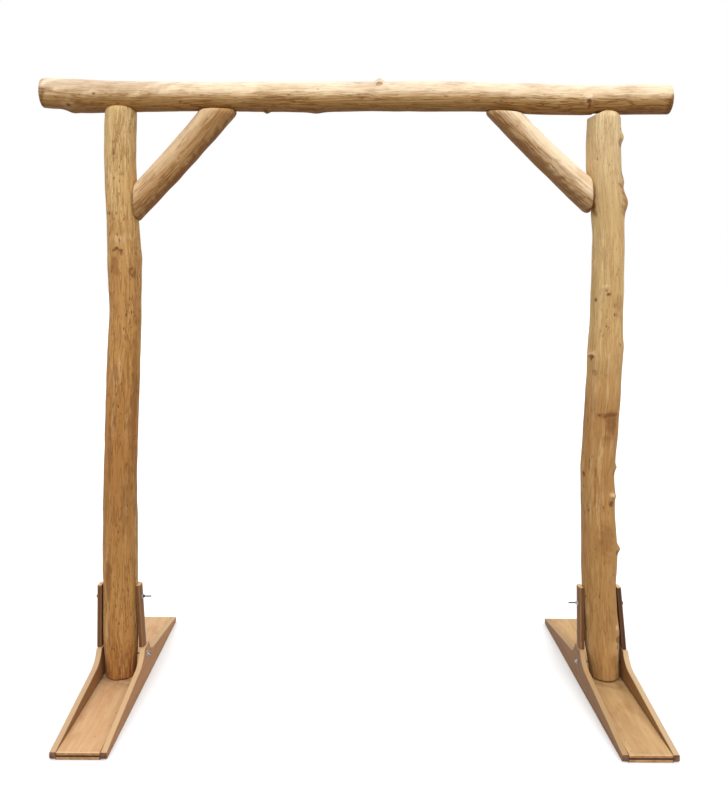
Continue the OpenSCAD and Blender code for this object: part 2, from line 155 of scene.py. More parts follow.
def ring_faces(rows, columns, first=0):
    """Quads between neighbouring rings that wrap round, facing outward when the rings turn
    counter-clockwise seen against the direction in which the rows advance."""
    j, k = np.meshgrid(np.arange(rows - 1), np.arange(columns), indexing="ij")
    j, k = j.ravel(), k.ravel()
    after = (k + 1) % columns
    return first + np.stack([j * columns + k, j * columns + after,
                             (j + 1) * columns + after, (j + 1) * columns + k], 1)


def closed_rings(grid, first):
    """Points and faces of rings stacked in rows, whose end rings are closed by triangles
    on their means, as two more points."""
    rows, columns = grid.shape[:2]
    k = np.arange(columns)
    after = (k + 1) % columns
    top, low_pole = first + (rows - 1) * columns, first + rows * columns
    low = np.stack([np.full(columns, low_pole), first + after, first + k], 1)
    high = np.stack([np.full(columns, low_pole + 1), top + k, top + after], 1)
    return with_poles(grid), [ring_faces(rows, columns, first), np.concatenate([low, high])]


def with_poles(values):
    """The values of a ring grid in one list, with each end's mean added for its pole."""
    ends = [values[0].mean(0)[None], values[-1].mean(0)[None]]
    return np.concatenate([values.reshape(-1, *values.shape[2:]), *ends])


def add_rings(name, grids, material, slot, replaced=(), **marks):
    """Make a piece of one or more stacks of closed rings. Only a piece of one stack may
    have marks, with one value or vector per ring point."""
    points, faces = np.zeros((0, 3)), []
    for grid in grids:
        more, more_faces = closed_rings(grid, len(points))
        points, faces = np.concatenate([points, more]), faces + more_faces
    add_piece(name, points, faces, material, slot, replaced,
              **{mark: with_poles(values) for mark, values in marks.items()})


def along(line, share):
    """Smooth curve through evenly spaced stations (Catmull-Rom), at shares 0 to 1."""
    line = np.asarray(line, float)
    last = len(line) - 1
    place = np.clip(share, 0, 1) * last
    i = np.minimum(place.astype(int), last - 1)
    f = (place - i)[..., None]
    a, b, c, d = (line[np.clip(i + step, 0, last)] for step in (-1, 0, 1, 2))
    return 0.5 * (2 * b + (c - a) * f + (2 * a - 5 * b + 4 * c - d) * f ** 2
                  + (3 * b - a - 3 * c + d) * f ** 3)


def smooth(low, high, value):
    """0 below low, 1 above high, with a smooth S between them."""
    t = np.clip((value - low) / (high - low), 0, 1)
    return t * t * (3 - 2 * t)


def rounding(reach, count):
    """Places from 0 to reach, crowded towards 0 like the rows of a rounded rim."""
    return reach * (1 - np.cos(np.linspace(0, np.pi / 2, count)))


def rim_inset(distance, rim):
    """How far a rounded rim draws a surface in, at a distance from its end."""
    near = np.clip(1 - distance / rim, 0, 1)
    return rim * (1 - np.sqrt(1 - near ** 2))


def waves(seed, count, around, longest, shortest, angle, run):
    """Sum of seeded cosine waves over a log's angle and run, about -1 to 1. Each goes round
    a whole number of times, up to `around`, and is shortest to longest metres long."""
    rng = np.random.default_rng(seed)
    total = np.zeros(np.broadcast(angle, run).shape)
    for turns, length, turn, slide in zip(
            rng.integers(around[0], around[1] + 1, count),
            rng.uniform(shortest, longest, count),
            rng.uniform(0, 2 * np.pi, count), rng.uniform(0, 2 * np.pi, count)):
        total += np.cos(turns * angle + turn + 2 * np.pi * run / length + slide)
    return total / math.sqrt(count)


def ripples(seed, count, longest, shortest, run):
    """Waves along a run alone."""
    return waves(seed, count, (0, 0), longest, shortest, 0 * run, run)


def angle_apart(angle, middle):
    """Signed angle from middle, in degrees, to angle: in radians, the short way round."""
    return (angle - np.radians(middle) + np.pi) % (2 * np.pi) - np.pi


def circle(count):
    return np.arange(count) * 2 * np.pi / count


# ---- Logs ----

FAR = 9.0  # knot coordinates of what lies clear of every knot
EYE_TALL, FAINT_EYE = 1.25, 0.45
TINTS = ("dark", "pale", "torn", "amber")
CAP_RINGS, RIM_RINGS = 15, 9


def log_piece(name, start, way, first, radius, length, line, material, slot, seed,
              rims, planes=(None, None), knots=(), patches=None, cracks=(),
              lumpy=0.0008, columns=160, step=0.0042, shape=None,
              painted_top_light=(0.0, 0.0, 0.9), ridges=0.0002):
    """One crooked log. Ring centre = start + way * run + shifts along first and second,
    and the ring's radius = mean + station + knots + lumps + fibres - cracks - rim, all as
    functions of the run along the log and the angle round it. Each column of points starts
    and ends on the end planes, and the sawn ends close in rings to their middles. A rim is
    how far an end is rounded, a plane is a point and a normal, and the paling argument is a
    share and the skyward numbers between which the log is painted paler: a painted highlight
    on its upward side."""
    way, first = np.asarray(way, float), np.asarray(first, float)
    second = np.cross(way, first)
    angle = circle(columns)
    out = np.cos(angle)[:, None] * first + np.sin(angle)[:, None] * second

    def centre(run):
        """Middle of the log at a run, and its radius over the mean."""
        station = along(line, run / length) * MM
        return (start + run[..., None] * way + station[..., :1] * first
                + station[..., 1:2] * second), station[..., 2]

    def knotted(run, turn, reach):
        """Radius with the knots' humps and eyes, coordinates in the nearest eye's radii
        with its strength, and how far the fibres bend round the eyes."""
        near, bend = np.full(run.shape, FAR), np.zeros(run.shape)
        spot = np.full(run.shape + (3,), FAR)
        for share, middle, height, spread, eye in knots:
            across = angle_apart(turn, middle) * radius
            upward = run - share * length
            gap = (across ** 2 + upward ** 2) / (spread * MM) ** 2
            reach = reach + height * MM * np.exp(-gap)
            if eye:
                size = abs(eye) * MM
                near_eye = np.hypot(across, upward / EYE_TALL) / size
                reach = reach - 0.22 * size * np.exp(-(near_eye * 1.3) ** 2)
                flow = np.exp(-(across ** 2 * 0.8 + upward ** 2 * 0.16) / size ** 2 / 4)
                bend = bend - across / radius * 0.75 * flow
                closer = near_eye < near
                near = np.where(closer, near_eye, near)
                local = np.stack([across / size, upward / size / EYE_TALL,
                                  np.full(run.shape, 1.0 if eye > 0 else FAINT_EYE)], -1)
                spot = np.where(closer[..., None], local, spot)
        return reach, spot, bend

    def surface(run, turn):
        """Radius and marks of the log's side at a run and angle."""
        reach, spot, bend = knotted(run, turn, radius + centre(run)[1])
        tints = {kind: np.zeros(run.shape) for kind in TINTS}
        ripple = waves(seed + 3, 10, (2, 7), 0.12, 0.02, turn, run)
        for kind, rows in (patches or {}).items():
            for share, middle, tall, wide, amount, height in rows:
                across = angle_apart(turn, middle) * radius / (wide * MM)
                upward = (run - share * length) / (tall * MM)
                gap = np.hypot(across, upward) + 0.22 * ripple
                tints[kind] = tints[kind] + amount * (1 - smooth(0.55, 1.25, gap))
                reach = reach + height * MM * (1 - smooth(0.5, 1.3, gap))
        for low, high, middle, deep, wide, lean in cracks:
            place = (run / length - low) / (high - low)
            drift = ripples(seed + 40 + int(middle), 9, 0.2, 0.016, run)
            across = angle_apart(turn, middle + lean * (place - 0.5) + 1.3 * drift)
            groove = np.exp(-(across * radius / (wide * MM)) ** 2) * smooth(0, 0.25, place) \
                * (1 - smooth(0.75, 1, place)) * np.clip(0.75 + 0.5 * drift, 0.1, 1)
            reach = reach - deep * MM * groove
            tints["dark"] = tints["dark"] + 1.1 * groove
        reach = reach + lumpy * waves(seed, 16, (0, 4), 0.6, 0.09, turn, run)
        reach = reach + lumpy * 0.35 * waves(seed + 1, 14, (5, 13), 0.35, 0.06, turn, run)
        reach = reach + ridges * waves(seed + 2, 22, (16, 38), 1.2, 0.16, turn + bend, run)
        # Painted highlight: the pale tint grows on the log's upward side, where the overhead
        # light falls.
        skyward = np.cos(turn) * first[2] + np.sin(turn) * second[2]
        share, low, high = painted_top_light
        tints["pale"] = tints["pale"] + share * smooth(low, high, skyward + 0.03 * ripple)
        return reach, spot, bend, tints

    def meets(plane, guess, rim):
        """Run at which each column reaches an end plane, found in a few rounds."""
        if plane is None:
            return guess
        point, normal = np.asarray(plane[0], float), np.asarray(plane[1], float)
        run = guess
        for _ in range(4):
            middle, _ = centre(run)
            reach = surface(run, angle)[0] - rim
            off = middle - run[:, None] * way + reach[:, None] * out
            run = ((point - off) @ normal) / (way @ normal)
        return run

    run_low = meets(planes[0], np.zeros(columns), rims[0])
    run_high = meets(planes[1], np.full(columns, length), rims[1])
    slants = [1.0 if p is None else abs(float(np.dot(way, p[1]))) for p in planes]
    rim_low, rim_high = rims[0] / slants[0], rims[1] / slants[1]
    rim_rows = rounding(1, RIM_RINGS + 1)[:-1, None]
    body = np.linspace(0, 1, int((run_high - run_low).mean() / step))[:, None]
    inner_low, inner_high = run_low + rim_low, run_high - rim_high
    run = np.concatenate([run_low + rim_low * rim_rows,
                          inner_low + body * (inner_high - inner_low),
                          (run_high - rim_high * rim_rows)[::-1]])
    turn = np.broadcast_to(angle, run.shape)
    reach, spot, bend, tints = surface(run, turn)
    for ends, rim, slant in ((run - run_low, rims[0], slants[0]),
                             (run_high - run, rims[1], slants[1])):
        reach = reach - rim_inset(ends * slant, rim)
    side = centre(run)[0] + reach[..., None] * out
    fibre_turn = turn + bend + 0.02 * waves(seed + 5, 8, (0, 3), 0.5, 0.1, turn, run)
    grain = np.stack([radius * np.cos(fibre_turn), radius * np.sin(fibre_turn),
                      run + seed * 3.1], -1)

    def cap(row):
        """Rings from a sawn end's rim to its middle, and their places in the grain."""
        shares = np.linspace(0.94, 0.06, CAP_RINGS)[:, None, None]
        hub = side[row].mean(0)
        level = np.broadcast_to(grain[row][..., 2:], (CAP_RINGS, columns, 1))
        return (hub + (side[row] - hub) * shares,
                np.concatenate([grain[row][..., :2] * shares, level], -1))

    def padded(values, at_ends):
        ends = np.full((CAP_RINGS,) + values.shape[1:], at_ends, float)
        return np.concatenate([ends, values, ends])

    (low_cap, low_grain), (high_cap, high_grain) = cap(0), cap(-1)
    grid = np.concatenate([low_cap[::-1], side, high_cap])
    hewn = 0.0
    if shape is not None:
        grid, hewn = shape(grid)
    add_rings(name, [grid], material, slot, (name,),
              straight=np.concatenate([low_grain[::-1], grain, high_grain]),
              spot=padded(spot, FAR), sawn=np.maximum(padded(0 * run, 1.0), hewn),
              **{kind: padded(tint, 0.0) for kind, tint in tints.items()})


# ---- Shader tools ----

def linear(red, green, blue):
    """A colour in linear light from its usual numbers out of 255."""
    return tuple(c / 12.92 if c <= 0.04045 else ((c + 0.055) / 1.055) ** 2.4
                 for c in (red / 255, green / 255, blue / 255)) + (1.0,)


class Opened:
    """Holds the node tree that new nodes go into."""
    tree = None


def fill(node, inputs):
    """Link a node's inputs that are given as sockets, and set the others."""
    for key, value in inputs.items():
        if isinstance(value, bpy.types.NodeSocket):
            node.id_data.links.new(value, node.inputs[key])
        else:
            node.inputs[key].default_value = value


def put(kind, inputs, **settings):
    """Add a shader node with its inputs and settings, and give its outputs."""
    made = Opened.tree.nodes.new("ShaderNode" + kind)
    for key, value in settings.items():
        setattr(made, key, value)
    fill(made, inputs)
    return made.outputs


def calc(operation, a, b=0.0, c=0.0):
    return put("Math", {0: a, 1: b, 2: c}, operation=operation)[0]


def times(a, b):
    return calc("MULTIPLY", a, b)


def times_add(a, b, c):
    return calc("MULTIPLY_ADD", a, b, c)


def ease(value, low, high, to_low=0.0, to_high=1.0):
    """Smooth change from to_low to to_high as the value passes from low to high."""
    return put("MapRange", {"Value": value, "From Min": low, "From Max": high,
                            "To Min": to_low, "To Max": to_high},
               interpolation_type="SMOOTHSTEP")[0]


def mix(share, a, b, blend="MIX"):
    """Mix two colours: sockets, or three numbers out of 255, or four in linear light."""
    a, b = (linear(*c) if isinstance(c, tuple) and len(c) == 3 else c for c in (a, b))
    return put("Mix", {0: share, 6: a, 7: b}, data_type="RGBA", blend_type=blend)[2]


def layered(colour, *layers):
    """Lay colours over a first one in turn, each given after its share."""
    for share, over in layers:
        colour = mix(share, colour, over)
    return colour


def vector(operation, a, b=(0, 0, 0)):
    return put("VectorMath", {0: a, 1: b}, operation=operation)


def stretched(place, scale):
    return vector("MULTIPLY", place, scale)[0]


def noise(place, scale, detail=2.0, roughness=0.5, distortion=0.0):
    return put("TexNoise", {"Vector": place, "Scale": scale, "Detail": detail,
                            "Roughness": roughness, "Distortion": distortion})[0]


def mark(name, output="Fac"):
    return put("Attribute", {}, attribute_name=name)[output]


def flattened(place):
    """A place's coordinates, its first two as a vector, and that vector's length."""
    parts = put("SeparateXYZ", {0: place})
    flat = put("CombineXYZ", {0: parts[0], 1: parts[1]})[0]
    return parts, flat, vector("LENGTH", flat)[1]


def new_group(name, inputs, outputs):
    """Open a shader node group. Its inputs have their usual values, or None for a vector,
    and its outputs all give one value."""
    tree = Opened.tree = bpy.data.node_groups.new(name, "ShaderNodeTree")
    for label, value in inputs.items():
        kind = "NodeSocketVector" if value is None else "NodeSocketFloat"
        socket = tree.interface.new_socket(label, in_out="INPUT", socket_type=kind)
        if value is not None:
            socket.default_value = value
    for label in outputs:
        tree.interface.new_socket(label, in_out="OUTPUT", socket_type="NodeSocketFloat")
    return tree.nodes.new("NodeGroupInput").outputs, tree.nodes.new("NodeGroupOutput")


def close_group(result, **values):
    fill(result, values)
    return result.id_data


def place_group(group, inputs):
    return put("Group", inputs, node_tree=group)


def fibre_group():
    """Wood fibres along the third axis: noise squeezed hard across the run, in fine lines,
    broad bands, long dark threads, short dashes and a soft dapple."""
    given, result = new_group(
        "fibres", {"Place": None, "Fineness": 260.0, "Breadth": 38.0, "Waviness": 0.004},
        ("Fine", "Broad", "Threads", "Dashes", "Dapple"))
    drift = noise(stretched(given["Place"], (1, 1, 0.35)), 26.0)
    shift = vector("SUBTRACT", drift.node.outputs["Color"], (0.5, 0.5, 0.5))[0]
    shift = put("VectorMath", {0: shift, 3: given["Waviness"]}, operation="SCALE")[0]
    place = vector("ADD", given["Place"], shift)[0]

    def squeezed(run, scale, *rest):
        return noise(stretched(place, (1, 1, run)), scale, *rest)

    def finer(share):
        return times(given["Fineness"], share)

    thread = squeezed(0.07, finer(0.36), 2.0, 0.5, 0.6)
    lines = calc("ABSOLUTE", calc("SUBTRACT", thread, 0.5))
    dash = squeezed(0.24, finer(0.9), 1.5, 0.5)
    return close_group(result, Fine=squeezed(0.045, given["Fineness"], 3.0, 0.6),
                       Broad=squeezed(0.07, given["Breadth"], 3.0, 0.55),
                       Threads=ease(lines, 0.01, 0.07, 1.0, 0.0),
                       Dashes=ease(dash, 0.6, 0.72),
                       Dapple=squeezed(0.2, finer(0.4), 3.0, 0.65))


def speck_group():
    """Scattered dark dashes along the grain: the few cells of a stretched cell pattern
    whose random number is under the share, each marked near its middle."""
    given, result = new_group(
        "specks", {"Place": None, "Scale": 110.0, "Share": 0.16, "Length": 3.0}, ("Mark",))
    squeeze = put("CombineXYZ", {0: 1.0, 1: 1.0, 2: calc("DIVIDE", 1.0, given["Length"])})[0]
    cells = put("TexVoronoi", {"Vector": stretched(given["Place"], squeeze),
                               "Scale": given["Scale"], "Randomness": 1.0})
    chance = put("SeparateColor", {0: cells["Color"]})
    chosen = calc("LESS_THAN", chance[0], given["Share"])
    size = times_add(noise(given["Place"], 240.0), 0.16, times_add(chance[1], 0.2, 0.09))
    inside = ease(calc("DIVIDE", cells["Distance"], size), 0.45, 1.0, 1.0, 0.0)
    return close_group(result, Mark=times(inside, chosen))


def knot_group():
    """A knot from its own coordinates, in knot radii: a dark cracked heart, rings round it
    and a pale halo. The third coordinate is its strength."""
    given, result = new_group("knot_marks", {"Spot": None}, ("Heart", "Rings", "Halo"))
    parts, flat, away = flattened(given["Spot"])
    ragged = calc("SUBTRACT", noise(flat, 2.6, 3.0, 0.6), 0.5)
    away = times_add(ragged, 1.5, away)
    strength = calc("MINIMUM", parts[2], 1.0)
    rings = times_add(calc("SINE", times(away, 10.0)), 0.5, 0.5)
    rings = times(rings, ease(away, 0.9, 2.1, 1.0, 0.0))
    halo = times(ease(away, 0.8, 1.3), ease(away, 1.6, 3.2, 1.0, 0.0))
    return close_group(
        result, Rings=times(rings, strength), Halo=times(halo, strength),
        Heart=times(ease(away, 0.25, 0.85, 1.0, 0.0), strength))


def ring_group():
    """Sawn end grain: year rings from the distance to the log's heart, and star cracks
    from the angle round it."""
    given, result = new_group("end_rings", {"Place": None, "Spacing": 0.0045},
                              ("Rings", "Cracks"))
    parts, flat, away = flattened(given["Place"])
    away = calc("ADD", away, times(noise(flat, 30.0), 0.008))
    phase = calc("DIVIDE", times(away, 2 * math.pi), given["Spacing"])
    angle = calc("ARCTAN2", parts[1], parts[0])
    spokes = times_add(noise(flat, 22.0, 3.0), 2.6, times(angle, 3.5))
    spokes = calc("ABSOLUTE", calc("SINE", spokes))
    cracks = ease(times(spokes, away), 0.0005, 0.0018, 1.0, 0.0)
    return close_group(result, Rings=times_add(calc("SINE", phase), 0.5, 0.5),
                       Cracks=times(cracks, ease(away, 0.012, 0.03)))


def wear_group():
    """Worn edges: the edge mark broken up by a ragged noise."""
    given, result = new_group(
        "edge_wear", {"Edge": 0.0, "Place": None, "Raggedness": 0.6}, ("Worn",))
    ragged = calc("SUBTRACT", noise(given["Place"], 90.0, 4.0, 0.6), 0.5)
    edge = times_add(ragged, given["Raggedness"], given["Edge"])
    return close_group(result, Worn=ease(edge, 0.35, 0.9))


FIBRES, SPECKS, KNOTS, RINGS, WEAR = (
    fibre_group(), speck_group(), knot_group(), ring_group(), wear_group())


def new_material(name, inputs):
    """Open a material's tree, and give the material and its shader with its inputs set."""
    material = bpy.data.materials.new(name)
    material.use_nodes = True
    Opened.tree = material.node_tree
    shader = Opened.tree.nodes["Principled BSDF"]
    fill(shader, inputs)
    return material, shader


def close_material(shader, colour, rough, height, strength, distance):
    """Link a material's colour, roughness and bump."""
    bump = put("Bump", {"Height": height, "Strength": strength, "Distance": distance})[0]
    fill(shader, {"Base Color": colour, "Roughness": rough, "Normal": bump})


def coloured_by_height(low, high, stops):
    """Colour ramp from height low to height high, through (share, colour) stops."""
    upward = put("SeparateXYZ", {0: put("TexCoord", {})["Object"]})[2]
    share = put("MapRange", {"Value": upward, "From Min": low, "From Max": high})[0]
    colour = put("ValToRGB", {0: share})[0]
    ramp = colour.node.color_ramp.elements
    for end, (place, shade) in ((ramp[0], stops[0]), (ramp[1], stops[-1])):
        end.position, end.color = place, linear(*shade)
    for place, shade in stops[1:-1]:
        ramp.new(place).color = linear(*shade)
    return colour


def log_wood(name, low, high, stops, thread_depth, speck_share, band, dashes,
             fineness=260.0):
    """Peeled and oiled log: colour by height, fibres, dashes, knots, stains and sawn ends,
    with painted highlights and painted shade among the pale, amber and dark marks.
    """
    material, shader = new_material(name, {"Specular IOR Level": 0.25})
    straight = mark("straight", "Vector")
    fibres = place_group(FIBRES, {"Place": straight, "Fineness": fineness})
    knots = place_group(KNOTS, {"Spot": mark("spot", "Vector")})
    rings = place_group(RINGS, {"Place": straight})
    specks = place_group(SPECKS, {"Place": straight, "Share": speck_share})["Mark"]
    base = coloured_by_height(low, high, stops)
    darker = mix(1.0, base, (212, 196, 178), "MULTIPLY")
    deep = mix(1.0, base, (156, 124, 88), "MULTIPLY")
    paler = mix(0.55, base, (250, 234, 206))
    fine = ease(fibres["Fine"], 0.3, 0.7)
    pale = calc("MINIMUM", mark("pale"), 0.95)
    sunny = times_add(pale, -0.85, 1.0)
    cloud = noise(stretched(straight, (1, 1, 0.4)), 14.0, 3.0, 0.6)

    def clouded(value, low, high, least):
        """A mark that fades between the clouds, and under the pale tint, which is mostly the
        painted highlight on the log's upward side.
        """
        return times(times(value, ease(cloud, low, high, least, 1.0)), sunny)

    threads = clouded(fibres["Threads"], 0.3, 0.55, 0.35)
    dash = clouded(fibres["Dashes"], 0.36, 0.62, 0.2)
    specks = clouded(specks, 0.34, 0.6, 0.35)
    ragged = noise(stretched(straight, (1, 1, 0.5)), 150.0, 3.0, 0.6)
    ragged = times_add(ease(ragged, 0.36, 0.58), 0.6, 0.4)
    dark = calc("MINIMUM", 1.0, times(mark("dark"), ragged))
    cut = layered((214, 180, 132), (times(rings["Rings"], 0.4), (172, 130, 84)),
                  (times(rings["Cracks"], 0.8), (80, 52, 30)))
    colour = mix(ease(fibres["Broad"], 0.36, 0.64, 0.0, band * 2), darker, base)
    colour = layered(
        colour,
        (ease(fibres["Broad"], 0.5, 0.72, 0.0, band * 1.6), paler),
        (ease(fibres["Dapple"], 0.34, 0.6, 0.75, 0.0), darker),
        (times_add(fine, -0.6, 0.6), darker),
        # The pale mark is mostly a painted highlight on the log's upward side and on a few
        # bumps, with some real pale patches.
        (pale, paler),
        (ease(cloud, 0.46, 0.72, 0.0, 0.6), darker),
        # The amber mark holds real amber bands, and painted shade along the braces' undersides
        # and where the braces meet the posts.
        (calc("MINIMUM", mark("amber"), 1.0), deep),
        (times(threads, thread_depth), deep),
        (times(dash, dashes), (116, 70, 28)),
        (times(knots["Halo"], 0.12), paler),
        (times(knots["Rings"], 0.3), darker),
        (times(knots["Heart"], 0.85), (84, 52, 30)),
        # The dark mark holds cracks and dark spots, and painted shade under bumps, at the
        # beam's end corners and at the braces' lower tips.
        (times(dark, 0.87), (104, 60, 18)),
        (calc("MINIMUM", mark("torn"), 0.9), mix(fine, (120, 74, 44), (172, 120, 78))),
        (times(specks, 0.95), (96, 54, 18)),
        (mark("sawn"), cut))
    lines = calc("ADD", threads, calc("ADD", dash, specks))
    height = times_add(fibres["Fine"], 0.6, times(lines, -0.8))
    height = times_add(knots["Heart"], -0.8, height)
    close_material(shader, colour, times_add(fibres["Broad"], 0.22, 0.55), height, 0.5, 0.0015)
    return material


def board_wood(name, pale, brown, worn, cut, streak, stained=0.3):
    """Planed board: straight fibres, soft stains, nail and dust specks, paler worn edges,
    and end grain between the two colours in cut."""
    material, shader = new_material(name, {"Specular IOR Level": 0.25})
    straight = mark("straight", "Vector")
    fibres = place_group(FIBRES, {"Place": straight, "Fineness": 420.0, "Breadth": 60.0,
                                  "Waviness": 0.003})
    specks = place_group(SPECKS, {"Place": straight, "Scale": 120.0, "Share": 0.09,
                                  "Length": 1.6})["Mark"]
    wear = place_group(WEAR, {"Edge": mark("edge"), "Place": straight})["Worn"]
    stain = noise(stretched(straight, (1, 1, 0.45)), 16.0, 3.0, 0.6)
    colour = layered(
        pale,
        (ease(fibres["Broad"], 0.35, 0.68, 0.0, streak), brown),
        (ease(fibres["Fine"], 0.35, 0.75, 0.0, streak * 0.7), brown),
        (ease(stain, 0.5, 0.75, 0.0, stained), brown),
        (times(specks, 0.55), (96, 64, 40)),
        (times(wear, 0.7), worn),
        (mark("pale"), mix(fibres["Fine"], pale, worn)),
        (mark("sawn"), mix(ease(fibres["Broad"], 0.35, 0.65), *cut)),
        # The dark mark holds real stains and scuffs, and painted shade in the base boards'
        # grooves and corners.
        (calc("MINIMUM", mark("dark"), 1.0), (66, 42, 26)))
    height = times_add(fibres["Fine"], 0.6, times(specks, -0.5))
    close_material(shader, colour, times_add(fibres["Fine"], 0.2, 0.5), height, 0.25, 0.0008)
    return material


def zinc_steel(name, bright, dull, patches=0.5):
    """Zinc-plated steel: a soft grey with duller blotches and fine scratches."""
    material, shader = new_material(name, {"Metallic": 0.9})
    place = put("TexCoord", {})["Object"]
    blotch = noise(place, 260.0, 3.0, 0.6)
    colour = mix(ease(blotch, 0.35, 0.7, 0.0, patches), bright, dull)
    scratches = noise(stretched(place, (1, 6, 6)), 900.0)
    close_material(shader, colour, ease(blotch, 0.3, 0.7, 0.28, 0.5), scratches, 0.1, 0.0002)
    return material


# Both ramps pale towards the top: partly the wood's own tone, partly painted light falling
# from overhead.
POST_WOODS = {
    LEFT: log_wood("left_post_wood", 0.02, 2.05, [
        (0.0, (186, 136, 76)), (0.13, (196, 154, 92)), (0.3, (186, 142, 82)),
        (0.45, (188, 142, 80)), (0.57, (202, 158, 94)), (0.7, (210, 169, 108)),
        (0.85, (227, 197, 138)), (1.0, (235, 211, 158))],
        0.6, 0.36, band=0.26, dashes=0.75, fineness=320.0),
    RIGHT: log_wood("right_post_wood", 0.02, 2.05, [
        (0.0, (195, 157, 102)), (0.24, (191, 153, 96)), (0.48, (195, 155, 98)),
        (0.62, (227, 200, 146)), (0.8, (231, 207, 154)), (1.0, (247, 231, 190))],
        0.4, 0.14, band=0.24, dashes=0.45, fineness=320.0)}
# This ramp runs across the beam's thickness, darker underneath and paler on top: painted shade
# and painted light on the round log.
BEAM_WOOD = log_wood("beam_wood", 2.03, 2.15, [
    (0.0, (168, 126, 72)), (0.18, (196, 158, 96)), (0.3, (206, 172, 118)),
    (0.45, (224, 194, 144)), (0.6, (214, 185, 143)), (0.85, (211, 191, 168))],
    0.9, 0.14, band=0.12, dashes=0.4, fineness=330.0)
BRACE_WOODS = {
    side: log_wood(SIDES[side] + "_brace_wood", 1.65, 2.04,
                   [(0.0, foot), (1.0, top)], 0.8, 0.1, band=0.16, dashes=0.5)
    for side, foot, top in ((LEFT, (202, 164, 110), (206, 170, 118)),
                            (RIGHT, (219, 191, 148), (223, 194, 152)))}
BASE_WOODS = {
    side: board_wood(SIDES[side] + "_base_wood", pale, brown, worn,
                     ((172, 130, 88), (146, 104, 66)), streak=0.45, stained=0.7)
    for side, pale, brown, worn in (
        (LEFT, (194, 158, 118), (170, 124, 82), (204, 172, 130)),
        (RIGHT, (184, 150, 104), (150, 110, 68), (194, 162, 122)))}
SIDE_WOODS = {
    (side, way): board_wood(f"{SIDES[side]}_{WAYS[way]}_side_wood", pale, brown,
                            worn, ((124, 86, 58), (90, 58, 42)), streak=0.5)
    for side, way, pale, brown, worn in (
        (LEFT, OUTER, (149, 108, 68), (122, 85, 52), (186, 158, 122)),
        (LEFT, INNER, (170, 120, 74), (140, 96, 58), (188, 160, 122)),
        (RIGHT, INNER, (141, 102, 65), (114, 78, 48), (168, 138, 98)),
        (RIGHT, OUTER, (143, 105, 62), (116, 80, 46), (192, 166, 130)))}
# The strips' cut colours, seen on their sawn tops, are much paler than the strips: end grain
# with painted light from overhead.
STRIP_WOOD, SHADED_STRIP_WOOD = (
    board_wood(name, pale, brown, worn, ((214, 180, 140), (190, 154, 114)), streak=0.6)
    for name, pale, brown, worn in (
        ("strip_wood", (100, 65, 36), (70, 43, 25), (166, 120, 76)),
        ("shaded_strip_wood", (76, 46, 25), (52, 31, 18), (134, 92, 56))))
HEAD_STEEL = zinc_steel("head_steel", (96, 88, 84), (66, 58, 54), 0.8)
NUT_STEEL = zinc_steel("nut_steel", (186, 188, 192), (140, 140, 142))


# ---- The logs of this arch ----

def strip_corners(side, way):
    """Distances outward from the foot's middle to a strip's near face, at its base and at
    its top, from the leaning strip's box."""
    low, high = corners(f"{SIDES[side]}_{WAYS[way]}_upright_strip")
    near, far = sorted(side * way * (np.array([low[0], high[0]]) - FOOT_X[side]))
    base = BAY + STRIP_SHIFT[side] * way
    return base, near if abs(near - base) > abs(far - BOARD_T - base) else far - BOARD_T


def post_centre(side, height):
    """Sideways place and radius of a post's middle at a height."""
    share = np.asarray((height - BASE_TOP) / (POST_TOP[side] - BASE_TOP))
    station = along(POST_LINES[side], share) * MM
    return FOOT_X[side] + station[..., 0], POST_RADIUS[side] + station[..., 2]


def brace_ends(side):
    """Middles of a brace's seats: on the post, and under the crossbeam."""
    foot_z = BRACE_TOP - BRACE_DROP[side]
    middle, reach = post_centre(side, foot_z)
    foot_x = middle - side * (reach - BRACE_FLAT[side])
    return (np.array([foot_x, 0, foot_z]),
            np.array([FOOT_X[side] - side * BRACE_RUN[side], 0, BRACE_TOP]))


def post_shape(side, corner=None):
    """Flats on a post: between the strips and the side boards, behind the brace's end, and
    where a corner, given by its width and height, is hewn off its top by the archway."""
    def shape(points):
        x, y, z = points[..., 0], points[..., 1], points[..., 2]
        for way in (OUTER, INNER):
            base, top = strip_corners(side, way)
            limit = np.where(z < SIDE_TOP, BAY,
                             base + (top - base) * (z - SIDE_TOP) / (STRIP_TOP - SIDE_TOP))
            outward = side * way * (x - FOOT_X[side])
            held = (z < STRIP_TOP) & (outward > limit)
            x = np.where(held, FOOT_X[side] + side * way * limit, x)
        seat, _ = brace_ends(side)
        tall = BRACE_RADIUS[side] * 1.1
        hidden = ((z - seat[2]) / tall) ** 2 + (y / BRACE_RADIUS[side]) ** 2 < 0.8
        past = side * (seat[0] - x) > 0
        x = np.where(hidden & past, seat[0], x)
        hewn = np.zeros(x.shape)
        if corner:
            middle, reach = post_centre(side, POST_TOP[side])
            edge = middle - side * reach
            normal = np.array([-side * corner[1], corner[0]]) / np.hypot(*corner)
            off = (x - edge) * normal[0] + (z - POST_TOP[side] + corner[1]) * normal[1]
            cut = np.maximum(off, 0)
            x, z = x - cut * normal[0], z - cut * normal[1]
            hewn = smooth(0.001, 0.004, cut)
        return np.stack([x, y, z], -1), hewn
    return shape


def beam_shape(points):
    """Level seats under the crossbeam, inside the outlines of the posts and braces."""
    x, y, z = points[..., 0], points[..., 1], points[..., 2]
    for side in (LEFT, RIGHT):
        middle, reach = post_centre(side, POST_TOP[side])
        inside = np.hypot(x - middle, y) < reach - 0.016
        z = np.where(inside, np.maximum(z, POST_TOP[side]), z)
        foot, top = brace_ends(side)
        lean = np.hypot(*(top - foot)[[0, 2]]) / (top - foot)[2]
        inside = np.hypot((x - top[0]) / lean, y) < BRACE_RADIUS[side] - 0.01
        z = np.where(inside, np.maximum(z, BRACE_TOP), z)
    return np.stack([x, y, z], -1), 0.0


